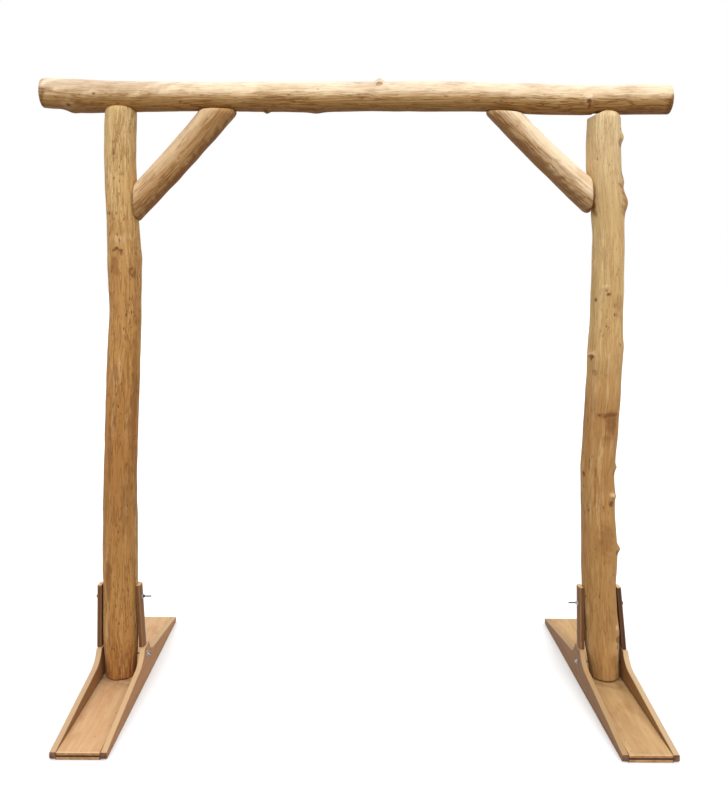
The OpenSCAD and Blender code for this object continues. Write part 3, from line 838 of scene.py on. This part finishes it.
# Knots: share of the length, angle, height and spread in mm, radius of the eye in mm,
# which is below nought where the eye is faint
# Patches of each kind: share, angle, half height and half width in mm, amount, height in mm
# Cracks: from share, to share, angle, depth and half width in mm, lean in degrees
BEAM_MARKS = dict(
    knots=[
        (0.049, 266, 6, 18, 0), (0.028, 270, -3, 20, 0), (0.047, 226, 2, 14, 8),
        (0.089, 183, 0.8, 10, 6), (0.358, 266, 9, 11, 0), (0.437, 268, 5, 24, 0),
        (0.44, 163, 0.5, 10, -5), (0.537, 108, 10, 13, -5), (0.537, 90, 6, 12, 0),
        (0.795, 176, 0.6, 12, -5), (0.865, 196, 2.5, 18, 6), (0.2, 20, 3, 18, 8),
        (0.66, 330, 4, 24, 10), (0.9, 60, 3, 18, 7)],
    patches={
        "dark": [
            (0.725, 226, 60, 12, 0.3, 0), (0.285, 232, 45, 9, 0.25, 0),
            (0.867, 214, 3.5, 14, 1.6, -0.8), (0.865, 196, 8, 7, 1.9, -1),
            (0.536, 134, 11, 9, 1.1, 0), (0.125, 224, 40, 10, 0.2, 0),
            # The patches at shares 0.998 and 0.002 are painted shade on the lower front
            # corners of the beam's ends.
            (0.03, 240, 20, 9, 0.35, 0), (0.998, 228, 18, 52, 1.0, 0),
            (0.002, 210, 16, 70, 0.8, 0), (0.77, 256, 4, 5, 1.4, 0),
            (0.357, 256, 4, 9, 1.4, -1.2)],
        "amber": [
            (0.1, 145, 240, 60, 0.35, 0)],
        "torn": [
            (0.758, 246, 12, 8, 0.3, 0)],
        "pale": [
            # The pale patch at share 0.363 is a painted highlight on the burl under the beam.
            (0.863, 176, 15, 9, 0.9, 0.8), (0.363, 250, 6, 7, 0.3, 0)]},
    cracks=[
        (0.03, 0.2, 206, 0.8, 1.3, 3), (0.33, 0.47, 196, 0.8, 1.3, -4),
        (0.5, 0.66, 203, 0.8, 1.3, 3), (0.7, 0.84, 188, 0.8, 1.4, 4),
        (0.88, 1.02, 192, 1.2, 1.5, 2), (0.2, 0.5, 330, 2.0, 2.0, 6)])
LEFT_POST_MARKS = dict(
    knots=[
        (0.79, 285, 4, 26, 0), (0.735, 10, 3, 30, 0), (0.752, 268, 3, 16, 0),
        (0.905, 264, 0.6, 20, -6), (0.45, 130, 4, 26, 10), (0.6, 60, 3, 24, 8),
        (0.3, 200, 2, 22, 8)],
    patches={
        "dark": [
            (0.7465, 247, 4, 8, 1.6, -1.2), (0.7495, 260, 5, 9, 1.9, -1.8),
            (0.7465, 273, 4, 8, 1.7, -1.2), (0.71, 312, 22, 15, 0.9, 0),
            (0.741, 276, 9, 7, 0.7, -0.5), (0.762, 272, 9, 3, 0.7, -0.5),
            (0.0, 275, 7, 70, 1.2, 0), (0.915, 262, 20, 4, 0.6, -0.6),
            (0.935, 262, 6, 12, 0.5, 0), (0.272, 276, 8, 5, 0.7, 0),
            (0.03, 285, 26, 30, 0.2, -0.8), (0.12, 262, 50, 9, 0.22, 0)],
        "amber": [
            # The amber patch at share 0.835 is painted shade where the brace meets the post.
            (0.835, 338, 60, 12, 0.8, 0), (0.72, 250, 40, 16, 0.6, 0),
            (0.5, 330, 260, 14, 0.5, 0), (0.3, 300, 120, 12, 0.4, 0),
            (0.175, 243, 90, 12, 0.7, 0), (0.39, 246, 110, 10, 0.5, 0)],
        "torn": [
            (0.752, 320, 10, 9, 0.6, 0)],
        "pale": [
            # This pale patch is a painted highlight on the raised ridge above the crack.
            (0.766, 280, 16, 34, 0.15, 1.6)]},
    cracks=[
        (-0.008, 0.026, 281, 4, 1.8, 0), (0.895, 0.925, 263, 1.5, 1.6, 0),
        (0.3, 0.44, 258, 0.8, 1.2, 4), (0.08, 0.22, 300, 0.8, 1.2, -4),
        (0.5, 0.62, 250, 0.7, 1.2, 3)])
RIGHT_POST_MARKS = dict(
    knots=[
        (0.84, 0, 16, 36, 0), (0.878, 0, 8, 20, 0), (0.954, 345, 10, 20, 0),
        (0.9, 180, 3, 30, 0), (0.83, 180, -3, 26, 0), (0.585, 0, 4, 26, 0),
        (0.967, 322, 1, 10, 5), (0.568, 198, 6, 14, 5), (0.56, 204, 2, 30, 0),
        (0.37, 0, 8, 13, 0), (0.378, 0, 2, 26, 0), (0.372, 184, 2, 20, 0),
        (0.325, 318, 9, 10, 0), (0.318, 309, 3, 22, 0), (0.325, 5, 4.5, 30, 0),
        (0.228, 350, 9, 13, 0), (0.228, 0, 2, 26, 0), (0.059, 322, 3, 24, 10),
        (0.085, 0, 9, 50, 0), (0.5, 100, 4, 26, 9), (0.76, 130, 3, 24, 8)],
    patches={
        "dark": [
            # The patch at share 0.941 is painted shade under the bump near the top.
            (0.886, 334, 14, 14, 1.7, -1), (0.941, 322, 16, 15, 0.8, -0.8),
            (0.677, 257, 5, 10, 1.5, -0.6), (0.684, 250, 8, 5, 0.6, 0),
            (0.668, 210, 8, 7, 1.2, 0), (0.659, 284, 7, 8, 0.4, 0), (0.622, 252, 3, 3, 1.0, 0),
            (0.566, 208, 10, 9, 1.9, -1), (0.54, 222, 12, 10, 0.6, 0),
            (0.468, 280, 9, 38, 1.3, 0.8), (0.452, 292, 30, 20, 0.5, 0),
            # The patches at shares 0.366, 0.312 and 0.222 are painted shade under the bumps
            # above them.
            (0.366, 328, 10, 12, 2.0, -0.8), (0.361, 200, 10, 7, 1.5, -0.8),
            (0.312, 303, 9, 12, 2.2, -1), (0.222, 330, 10, 11, 1.3, 0),
            (0.03, 304, 26, 26, 0.4, -2.5), (0.072, 326, 14, 11, 1.2, 0),
            (0.62, 262, 30, 10, 0.2, 0), (0.0, 275, 7, 70, 1.2, 0)],
        "amber": [
            # The amber patch at share 0.845 is painted shade where the brace meets the post.
            (0.845, 200, 70, 16, 0.9, 0), (0.1, 290, 60, 24, 0.2, 0),
            (0.25, 280, 60, 30, 0.4, 0), (0.66, 300, 40, 24, 0.4, 0),
            (0.45, 288, 60, 26, 0.6, 0)],
        "torn": [
            (0.866, 350, 30, 38, 0.9, -0.5), (0.832, 352, 44, 42, 0.9, 0)],
        "pale": [
            (0.862, 326, 9, 7, 0.4, 0), (0.69, 246, 8, 14, 0.2, 1.6),
            # The pale patch at share 0.327 is a painted highlight on the nub.
            (0.574, 214, 8, 10, 0.25, 1.5), (0.327, 306, 9, 11, 0.45, 4),
            (0.095, 320, 12, 9, 0.5, 0.8)]},
    cracks=[
        (0.3, 0.4, 244, 1.6, 1.5, 3), (0.22, 0.3, 262, 1.0, 1.2, -4),
        (0.1, 0.18, 286, 0.8, 1.2, 3), (0.4, 0.5, 268, 0.8, 1.2, 4)])
LEFT_BRACE_MARKS = dict(
    # The brace is painted paler on its upward side: a painted highlight.
    rims=(0.011, 0.013), painted_top_light=(0.6, -0.35, 0.6),
    knots=[
        (0.5, 286, 0.6, 12, -5), (0.52, 320, 0.6, 12, -5), (0.6, 120, 3, 24, 8)],
    patches={
        "dark": [
            # The patch at share 0.06 is painted shade at the brace's lower tip against the
            # post.
            (0.37, 300, 14, 12, 0.25, 0), (0.06, 335, 16, 26, 0.9, 0),
            (0.1, 298, 14, 12, 0.4, 0)],
        "amber": [
            # This amber patch is painted shade along the brace's underside.
            (0.45, 350, 300, 30, 0.9, 0)]},
    cracks=[
        (0.3, 0.5, 262, 0.8, 1.2, 4), (0.52, 0.68, 250, 0.8, 1.2, -4)])
RIGHT_BRACE_MARKS = dict(
    # The brace is painted paler on its upward side: a painted highlight.
    rims=(0.0145, 0.009), painted_top_light=(0.95, -0.5, 0.4),
    knots=[
        (0.42, 60, 0.8, 12, -5), (0.6, 240, 3, 24, 8)],
    patches={
        "dark": [
            # The patch at share 0.07 is painted shade at the brace's lower tip against the
            # post.
            (0.35, 58, 22, 9, 0.35, 0), (0.07, 30, 16, 26, 0.8, 0)],
        "amber": [
            # This amber patch is painted shade along the brace's underside.
            (0.5, 12, 320, 40, 0.8, 0)]},
    cracks=[
        (0.36, 0.46, 62, 1.4, 2.0, 4)])

# The crossbeam is painted paler on its upward side: a painted highlight.
log_piece("crossbeam", np.array([BEAM_INSET - BEAM_LENGTH / 2, 0, BEAM_HEIGHT]), (1, 0, 0),
          (0, 1, 0), BEAM_RADIUS, BEAM_LENGTH - 2 * BEAM_INSET, BEAM_LINE, BEAM_WOOD,
          "log_wood", 11, rims=(0.006, 0.006), shape=beam_shape, painted_top_light=(0.8, -0.35, 0.3),
          planes=(((-BEAM_END, 0, BEAM_HEIGHT), (1, 0.06, 0)),
                  ((BEAM_END, 0, BEAM_HEIGHT), (1, -0.06, 0))),
          ridges=0.0004, lumpy=0.0009, **BEAM_MARKS)

for side, seed, rims, corner, marks in (
        (LEFT, 23, (0.005, 0.022), None, LEFT_POST_MARKS),
        (RIGHT, 37, (0.010, 0.028), HEWN_CORNER, RIGHT_POST_MARKS)):
    log_piece(SIDES[side] + "_post", np.array([FOOT_X[side], 0, BASE_TOP]), (0, 0, 1),
              (1, 0, 0), POST_RADIUS[side], POST_TOP[side] - BASE_TOP, POST_LINES[side],
              POST_WOODS[side], "log_wood", seed, rims, shape=post_shape(side, corner),
              **marks)


def brace_piece(side, marks):
    """A brace: its axis runs between its seats, and its log is cut level under the
    crossbeam, with the post's side a little low, and upright against the post."""
    foot, top = brace_ends(side)
    way = (top - foot) / np.linalg.norm(top - foot)
    first = np.array([way[2] * -side, 0, -abs(way[0])])
    spare = 1.5 * BRACE_RADIUS[side]
    seat = top - np.array([side * BRACE_TURN, 0, 0])
    log_piece(SIDES[side] + "_brace", foot - way * spare, way, first,
              BRACE_RADIUS[side], np.linalg.norm(top - foot) + 2 * spare, BRACE_LINES[side],
              BRACE_WOODS[side], "brace_wood", 50 + side, columns=128, step=0.0036,
              planes=((foot, (1.0, 0, 0)), (seat, (side * BRACE_TILT[side], 0, 1.0))),
              ridges=0.0003, **marks)


brace_piece(LEFT, LEFT_BRACE_MARKS)
brace_piece(RIGHT, RIGHT_BRACE_MARKS)


# ---- Boards ----

def bar_ring(tall, wide, corner=4):
    """A rounded oblong as fractions of its box and of its corner radius, turning from its
    first axis to its second: columns are first place, second place, and their offsets."""
    rows = []
    box = ((1, 0), (1, 1), (0, 1), (0, 0))
    for quarter, (a, b) in enumerate(box):
        # a straight side from the last corner to corner (a, b), then that corner's arc
        from_a, from_b = box[quarter - 1]
        steps = tall if quarter % 2 else wide
        for t in ((1 - np.cos(np.linspace(0, np.pi, steps + 1))) / 2)[:-1]:
            rows.append((from_a + (a - from_a) * t, from_b + (b - from_b) * t,
                         (a - from_a) * (1 - 2 * t), (b - from_b) * (1 - 2 * t)))
        arc = np.linspace(0, np.pi / 2, corner + 1) - np.pi / 2 + quarter * np.pi / 2
        for phi in arc[:-1]:
            rows.append((a, b, (1 - 2 * a) + math.cos(phi), (1 - 2 * b) + math.sin(phi)))
    return np.array(rows)


def bar_grid(low, high, corner, tall, wide):
    """Rounded oblong rings between the low and high corners given for each row."""
    a, b, da, db = bar_ring(tall, wide).T
    p = low[:, :1] + a * (high - low)[:, :1] + da * corner
    q = low[:, 1:] + b * (high - low)[:, 1:] + db * corner
    return p, q


def edge_mark(*distances):
    """Near 1 on a board's edges: the second smallest distance to its faces."""
    second = np.sort(np.stack(distances), 0)[1]
    return np.exp(-(second / WORN_EDGE) ** 2)


def shoulder_slope():
    """Slope of a side board's long edge, in radians: the shoulder's lower end has to lie
    on it, so it is worked out from a first guess by a few rounds."""
    slope = math.radians(10)
    for _ in range(12):
        drop = SHOULDER_RADIUS * (math.cos(slope) - math.cos(SHOULDER_TOP))
        wide = SHOULDER_RADIUS * (math.sin(SHOULDER_TOP) - math.sin(slope))
        slope = math.atan2(SIDE_TOP - drop - TOE_HEIGHT, HALF_FOOT - HALF_LEVEL - wide)
    return slope


SLOPE = shoulder_slope()


def side_top(away):
    """Height of a side board at a distance from the foot's middle: level under the strip,
    then a hollow shoulder, then a straight slope down to the toe."""
    sine = math.sin(SHOULDER_TOP)
    wide = SHOULDER_RADIUS * (sine - math.sin(SLOPE))
    sine = np.clip(sine - (away - HALF_LEVEL) / SHOULDER_RADIUS, math.sin(SLOPE), 1)
    hollow = SIDE_TOP - SHOULDER_RADIUS * (np.sqrt(1 - sine ** 2) - math.cos(SHOULDER_TOP))
    slope = TOE_HEIGHT + (HALF_FOOT - away) * math.tan(SLOPE)
    return np.where(away < HALF_LEVEL, SIDE_TOP,
                    np.where(away < HALF_LEVEL + wide, hollow, slope))


def end_rows(low, high, count, rim):
    """Places from low to high, crowded into the rounded rims at both ends."""
    middle = np.linspace(low + rim, high - rim, count)
    rows = [low + rounding(rim, 6), middle, high - rounding(rim, 6)]
    return np.unique(np.concatenate(rows).round(7))


def side_board(side, way, seed):
    """A side board: upright rounded oblongs stacked from front to back, as tall as the
    board's outline and with a round lower corner at each toe."""
    name = f"{SIDES[side]}_{WAYS[way]}_side_board"
    low, high = corners(name)
    toe = rounding(TOE_RADIUS, 9)
    y = np.unique(np.concatenate([
        end_rows(-HALF_FOOT, HALF_FOOT, 150, SIDE_RIM), toe - HALF_FOOT, HALF_FOOT - toe,
        [-HALF_LEVEL, HALF_LEVEL]]).round(6))
    away = np.abs(y)
    inset = rim_inset(HALF_FOOT - away, SIDE_RIM)
    under = rim_inset(HALF_FOOT - away, TOE_RADIUS)
    worn = 0.0004 * ripples(seed, 8, 0.3, 0.03, y)
    top = side_top(away) + np.where(away > HALF_LEVEL + 0.004, worn, 0)
    z, x = bar_grid(np.stack([under + inset, low[0] + inset], 1),
                    np.stack([top - inset, high[0] - inset], 1), SIDE_CORNER, 4, 14)
    y = np.broadcast_to(y[:, None], x.shape)
    ends = HALF_FOOT - np.abs(y)
    edge = edge_mark(np.minimum(x - low[0], high[0] - x), ends,
                     np.minimum(z - under[:, None], top[:, None] - z))
    upper = smooth(0.0024, 0.0, top[:, None] - z)
    add_rings(name, [np.stack([x, y, z], -1)], SIDE_WOODS[side, way], "board_wood", (name,),
              straight=np.stack([x + seed, z, y], -1), edge=np.maximum(edge * 0.4, upper),
              sawn=smooth(0.0022, 0.0008, ends), dark=0 * x)


def base_outline(top):
    """Outline of a base board in Y and Z: from the middle of its upper face's far end to
    the near end, down past the groove, and back as the same half turned upside down."""
    arc = np.linspace(0, np.pi / 2, 5)
    near, lip = -HALF_FOOT + BASE_RIM, -HALF_FOOT + GROOVE_LIP
    half = [((HALF_FOOT - BASE_RIM) * t, top) for t in np.linspace(1, -1, 121)]
    half += [(near - BASE_RIM * math.sin(a), top - BASE_RIM + BASE_RIM * math.cos(a))
             for a in arc[1:]]
    half += [(-HALF_FOOT, GROOVE_HIGH + GROOVE_LIP), (lip, GROOVE_HIGH),
             (-HALF_FOOT + GROOVE_DEPTH, GROOVE_HIGH), (-HALF_FOOT + GROOVE_DEPTH, GROOVE_LOW),
             (lip, GROOVE_LOW), (-HALF_FOOT, GROOVE_LOW - GROOVE_LIP)]
    half += [(near - BASE_RIM * math.cos(a), BASE_RIM - BASE_RIM * math.sin(a)) for a in arc]
    return np.array(half + [(-y, top - z) for y, z in half])


def base_board(side, seed):
    """A base board: its outline in Y and Z, with a groove across each end, swept from one
    side board to the other."""
    name = SIDES[side] + "_base_board"
    low, high = corners(name)
    outline = base_outline(high[2])
    seam = np.array([0.002, 0.004])
    rows = np.unique(np.concatenate([end_rows(low[0], high[0], 14, 0.001), low[0] + seam,
                                     high[0] - seam]))
    count = len(outline)
    grid = np.empty((len(rows), count, 3))
    grid[..., 0] = rows[:, None]
    grid[..., 1:] = outline
    points = grid.reshape(-1, 3)
    order = np.arange(count)
    faces = [ring_faces(len(rows), count), order[::-1][None],
             (order + (len(rows) - 1) * count)[None]]
    x, y, z = points.T
    ends, upward = HALF_FOOT - np.abs(y), np.minimum(z, high[2] - z)
    at_end = ends < 0.004
    # Painted shade fills the groove across each end.
    in_groove = (ends > 0.0002) & (upward > 0.002) & (ends < GROOVE_DEPTH + 0.0002)
    cloud = np.clip(0.6 + ripples(seed, 10, 0.15, 0.03, y + 0.5 * x), 0, 1.4)
    stain = smooth(0.16, 0.0, np.abs(y)) * 0.3 * cloud
    scuff = 0.5 * np.exp(-((x - FOOT_X[side] - 0.045) ** 2 + (y + 0.075) ** 2) / 0.007 ** 2)
    # Painted shade in the corners where the upper face meets the side boards.
    seam_shade = 0.7 * smooth(0.004, 0.001, np.minimum(x - low[0], high[0] - x))
    add_piece(name, points, faces, BASE_WOODS[side], "board_wood", (name,),
              straight=np.stack([x + seed, z, y], 1),
              edge=edge_mark(np.ones(len(points)), ends, upward) * at_end,
              sawn=smooth(0.0022, 0.0008, ends) * (upward > 0.0012),
              pale=0.6 * at_end * (upward > 0.0015) * (z < 0.009),
              dark=np.maximum(np.where(in_groove, 0.95, 0), stain + scuff + seam_shade))


def upright_strip(side, way, seed):
    """A strip: level rounded oblongs stacked upward, which shift with its lean and draw in
    to a rounded worn top. Its far face is a flat arch: its depth falls by three tenths of
    the cubed distance from the middle line."""
    name = f"{SIDES[side]}_{WAYS[way]}_upright_strip"
    low, high = corners(name)
    base, top = strip_corners(side, way)
    z = np.unique(np.concatenate([end_rows(low[2], high[2], 60, STRIP_FOOT_RIM),
                                  high[2] - rounding(STRIP_CROWN, 9)]).round(6))
    inset = rim_inset(z - low[2], STRIP_FOOT_RIM) + rim_inset(high[2] - z, STRIP_CROWN)
    near = base + (top - base) * (z - low[2]) / (high[2] - low[2])
    faces_x = FOOT_X[side] + side * way * np.stack([near, near + BOARD_T], 1)
    faces_x = np.sort(faces_x, 1)
    wobble = 0.0004 * ripples(seed, 8, 0.2, 0.03, z)
    x, y = bar_grid(np.stack([faces_x[:, 0] + inset, low[1] + inset + wobble], 1),
                    np.stack([faces_x[:, 1] - inset, high[1] - inset + wobble], 1),
                    STRIP_CORNER, 6, 4)
    z = np.broadcast_to(z[:, None], x.shape)
    fixed = faces_x[:, :1] if side * way > 0 else faces_x[:, 1:]
    deep = np.abs(x - fixed) / BOARD_T
    edge = edge_mark(np.minimum(x - faces_x[:, :1], faces_x[:, 1:] - x),
                     np.minimum(y - low[1], high[1] - y), high[2] - z)
    archway = smooth(0.5, 0.9, deep if way == INNER else 1 - deep)
    x = fixed + (x - fixed) * (1 - 0.3 * (np.abs(y) / high[1]) ** 3)
    wood = SHADED_STRIP_WOOD if (side, way) == (RIGHT, OUTER) else STRIP_WOOD
    # The sawn top takes the strip woods' pale cut colours: end grain with painted light from
    # overhead.
    add_rings(name, [np.stack([x, y, z], -1)], wood, "strip_wood", (name,),
              straight=np.stack([x + seed, y, z], -1), edge=edge * 0.75,
              pale=(0.5 if way == INNER else 0.3) * archway, dark=0 * x,
              sawn=smooth(0.0012, 0.0002, high[2] - z))


for count, (side, way) in enumerate(((LEFT, OUTER), (LEFT, INNER), (RIGHT, OUTER),
                                     (RIGHT, INNER))):
    side_board(side, way, 60 + count)
    upright_strip(side, way, 70 + count)
base_board(LEFT, 80)
base_board(RIGHT, 81)


# ---- Bolts, nuts and nails ----

NUT_HUB = [(0.0, 0.0048), (0.0004, 0.0056), (0.0016, 0.0057), (0.0034, 0.0050),
           (0.0060, 0.0045), (0.0068, 0.0042), (0.0071, 0.0036)]
NAIL_HEAD = [(0.0, 0.0024), (0.0006, 0.0024), (0.0009, 0.0020), (0.0011, 0.0010)]
NAILS, FIRST_NAIL, NAIL_STEP, NAIL_HEIGHT = 7, -0.41, 0.14, 0.012


def lathe(stations, columns, centre, toward, wobble=None):
    """Rings round an X axis through centre, from (distance along toward, radius) pairs."""
    stations = np.asarray(stations, float)
    angle = circle(columns)
    along_x = stations[:, :1]
    reach = np.broadcast_to(stations[:, 1:], (len(stations), columns))
    if wobble is not None:
        reach = reach - wobble(along_x, angle[None])
    grid = np.stack([np.broadcast_to(centre[0] + toward * along_x, reach.shape),
                     centre[1] + reach * np.cos(angle), centre[2] + reach * np.sin(angle)], -1)
    return grid if toward > 0 else grid[::-1]


def bolt(side, level, thread):
    """A carriage bolt: domed head on the outer side, plain shank, and a thread whose ridges
    climb one pitch for each turn."""
    name = f"{SIDES[side]}_{level}_bolt"
    low, high = corners(name)
    centre = np.array([low[0] if side == RIGHT else high[0], 0, (low[2] + high[2]) / 2])
    neck = high[0] - low[0] - HEAD_HEIGHT
    head_radius, rim = (high[2] - low[2]) / 2, 0.0006
    stations = [(0, THREAD_RADIUS * 0.55)]
    stations += [(a, THREAD_RADIUS)
                 for a in np.arange(0.001, thread + 0.014, THREAD_PITCH / 7)]
    stations += [(neck, THREAD_RADIUS), (neck + 0.0001, head_radius * 0.98)]
    stations += [(neck + rim + (HEAD_HEIGHT - rim) * math.cos(a), head_radius * math.sin(a))
                 for a in np.linspace(0.02, np.pi / 2, 10)[::-1]]

    def ridges(along_x, angle):
        deep = np.where((along_x > 1e-6) & (along_x < thread + 0.013), THREAD_DEPTH, 0)
        return deep * (0.5 + 0.5 * np.cos(2 * np.pi * along_x / THREAD_PITCH - angle))

    add_rings(name, [lathe(stations, 28, centre, side, ridges)], HEAD_STEEL, "zinc_steel",
              (name,))


def wing_nut_ear(centre, toward, turn):
    """One ear: thin oval sections on a spine that swings outward, rounded at its tip."""
    outward = np.array([0, math.sin(turn), -math.cos(turn)])
    axis = np.array([toward, 0, 0.0])
    across = np.cross(axis, outward)
    t = np.linspace(0, 1, 14)[:, None]
    phi = circle(16)
    spine = outward * (0.0030 + 0.0086 * t) + axis * (0.0036 + 0.0070 * t ** 1.5)
    wide = 0.0031 * np.sqrt(np.clip(1 - (np.maximum(t - 0.45, 0) / 0.56) ** 2, 0.01, 1))
    thin = 0.0011 * np.sqrt(np.clip(1 - (np.maximum(t - 0.7, 0) / 0.31) ** 2, 0.05, 1))
    lean = axis * 0.8 - outward * 0.6
    ear = (centre + spine[:, None] + (wide * np.cos(phi))[..., None] * lean
           + (thin * np.sin(phi))[..., None] * across)
    return ear if np.dot(np.cross(lean, across), outward) > 0 else ear[::-1]


def wing_nut(side, level, turn, steel):
    """A wing nut: tapered hub turned about the bolt, and two ears."""
    name = f"{SIDES[side]}_{level}_wing_nut"
    washer_low, washer_high = corners(f"{SIDES[side]}_{level}_washer")
    centre = (washer_low + washer_high) / 2
    toward = -side
    centre[0] = washer_high[0] if toward > 0 else washer_low[0]
    grids = [lathe(NUT_HUB, 32, centre, toward), wing_nut_ear(centre, toward, turn),
             wing_nut_ear(centre, toward, turn + math.pi)]
    add_rings(name, grids, steel, "zinc_steel", (name,))


# The left upper wing nut takes the dark head steel: painted shade on that nut.
for side, lower_turn, upper_steel in ((LEFT, 35, HEAD_STEEL), (RIGHT, 65, NUT_STEEL)):
    for level, thread, turn, steel in (("upper", 0.032, 65, upper_steel),
                                       ("lower", 0.014, lower_turn, NUT_STEEL)):
        bolt(side, level, thread)
        wing_nut(side, level, math.radians(turn), steel)
        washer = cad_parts[f"{SIDES[side]}_{level}_washer"]
        washer.data.materials.clear()
        washer.data.materials.append(NUT_STEEL)


def nails(side):
    """Nail heads along the foot of both side boards: low domes, each a few rings."""
    grids = [lathe(NAIL_HEAD, 14, (FOOT_X[side] + side * way * (BAY + BOARD_T - 0.0004),
                                   FIRST_NAIL + NAIL_STEP * number,
                                   NAIL_HEIGHT + 0.0015 * math.sin(5 * number + way)),
                   side * way)
             for way in (OUTER, INNER) for number in range(NAILS)]
    add_rings(SIDES[side] + "_nails", grids, HEAD_STEEL, "zinc_steel")


nails(LEFT)
nails(RIGHT)


# ---- Floor, light and camera ----

def seen_directly():
    """1 for rays from the camera, and for those that gloss or glass send on."""
    path = put("LightPath", {})
    sent_on = calc("MAXIMUM", path["Is Glossy Ray"], path["Is Transmission Ray"])
    return calc("MAXIMUM", path["Is Camera Ray"], sent_on)


def make_floor():
    """A wide level floor, pale where it is seen and mid grey where it only throws light
    back up."""
    size = 60.0
    mesh = bpy.data.meshes.new("floor")
    mesh.from_pydata([(-size, -size, 0), (size, -size, 0), (size, size, 0), (-size, size, 0)],
                     [], [(0, 1, 2, 3)])
    floor = link_object("floor", mesh)
    material, shader = new_material("floor_paint", {"Roughness": 0.9,
                                                    "Specular IOR Level": 0.0})
    shade = mix(seen_directly(), (0.24, 0.23, 0.22, 1), (0.78, 0.78, 0.78, 1))
    fill(shader, {"Base Color": shade})
    mesh.materials.append(material)


def make_world():
    """Soft light that is stronger from overhead, and plain white where it is seen."""
    world = bpy.data.worlds.new("studio")
    scene.world = world
    world.use_nodes = True
    Opened.tree = world.node_tree
    upward = put("SeparateXYZ", {0: put("TexCoord", {})["Generated"]})[2]
    glow = ease(upward, -0.2, 1.0, 0.58, 1.5)
    strength = put("Mix", {0: seen_directly(), 2: glow, 3: 1.0}, data_type="FLOAT")[0]
    fill(world.node_tree.nodes["Background"], {"Color": (1, 1, 1, 1), "Strength": strength})


def make_lamp():
    """A wide soft lamp far away: tipped from straight overhead, then turned about the
    upright."""
    light = bpy.data.lights.new("overhead", "SUN")
    light.angle, light.energy = math.radians(80), 1.9
    link_object("overhead", light).rotation_euler = (math.radians(50), 0, math.radians(6))


def make_camera():
    camera = bpy.data.cameras.new("camera")
    camera.lens, camera.sensor_width = 34.5, 36
    camera.shift_x, camera.shift_y = 0.0175, -0.155
    made = link_object("camera", camera)
    made.location = (-0.0187, -2.744, 1.448)
    made.rotation_euler = (math.pi / 2, -0.0048, 0)
    scene.camera = made


make_floor()
make_world()
make_lamp()
make_camera()
scene.view_settings.view_transform = "Standard"
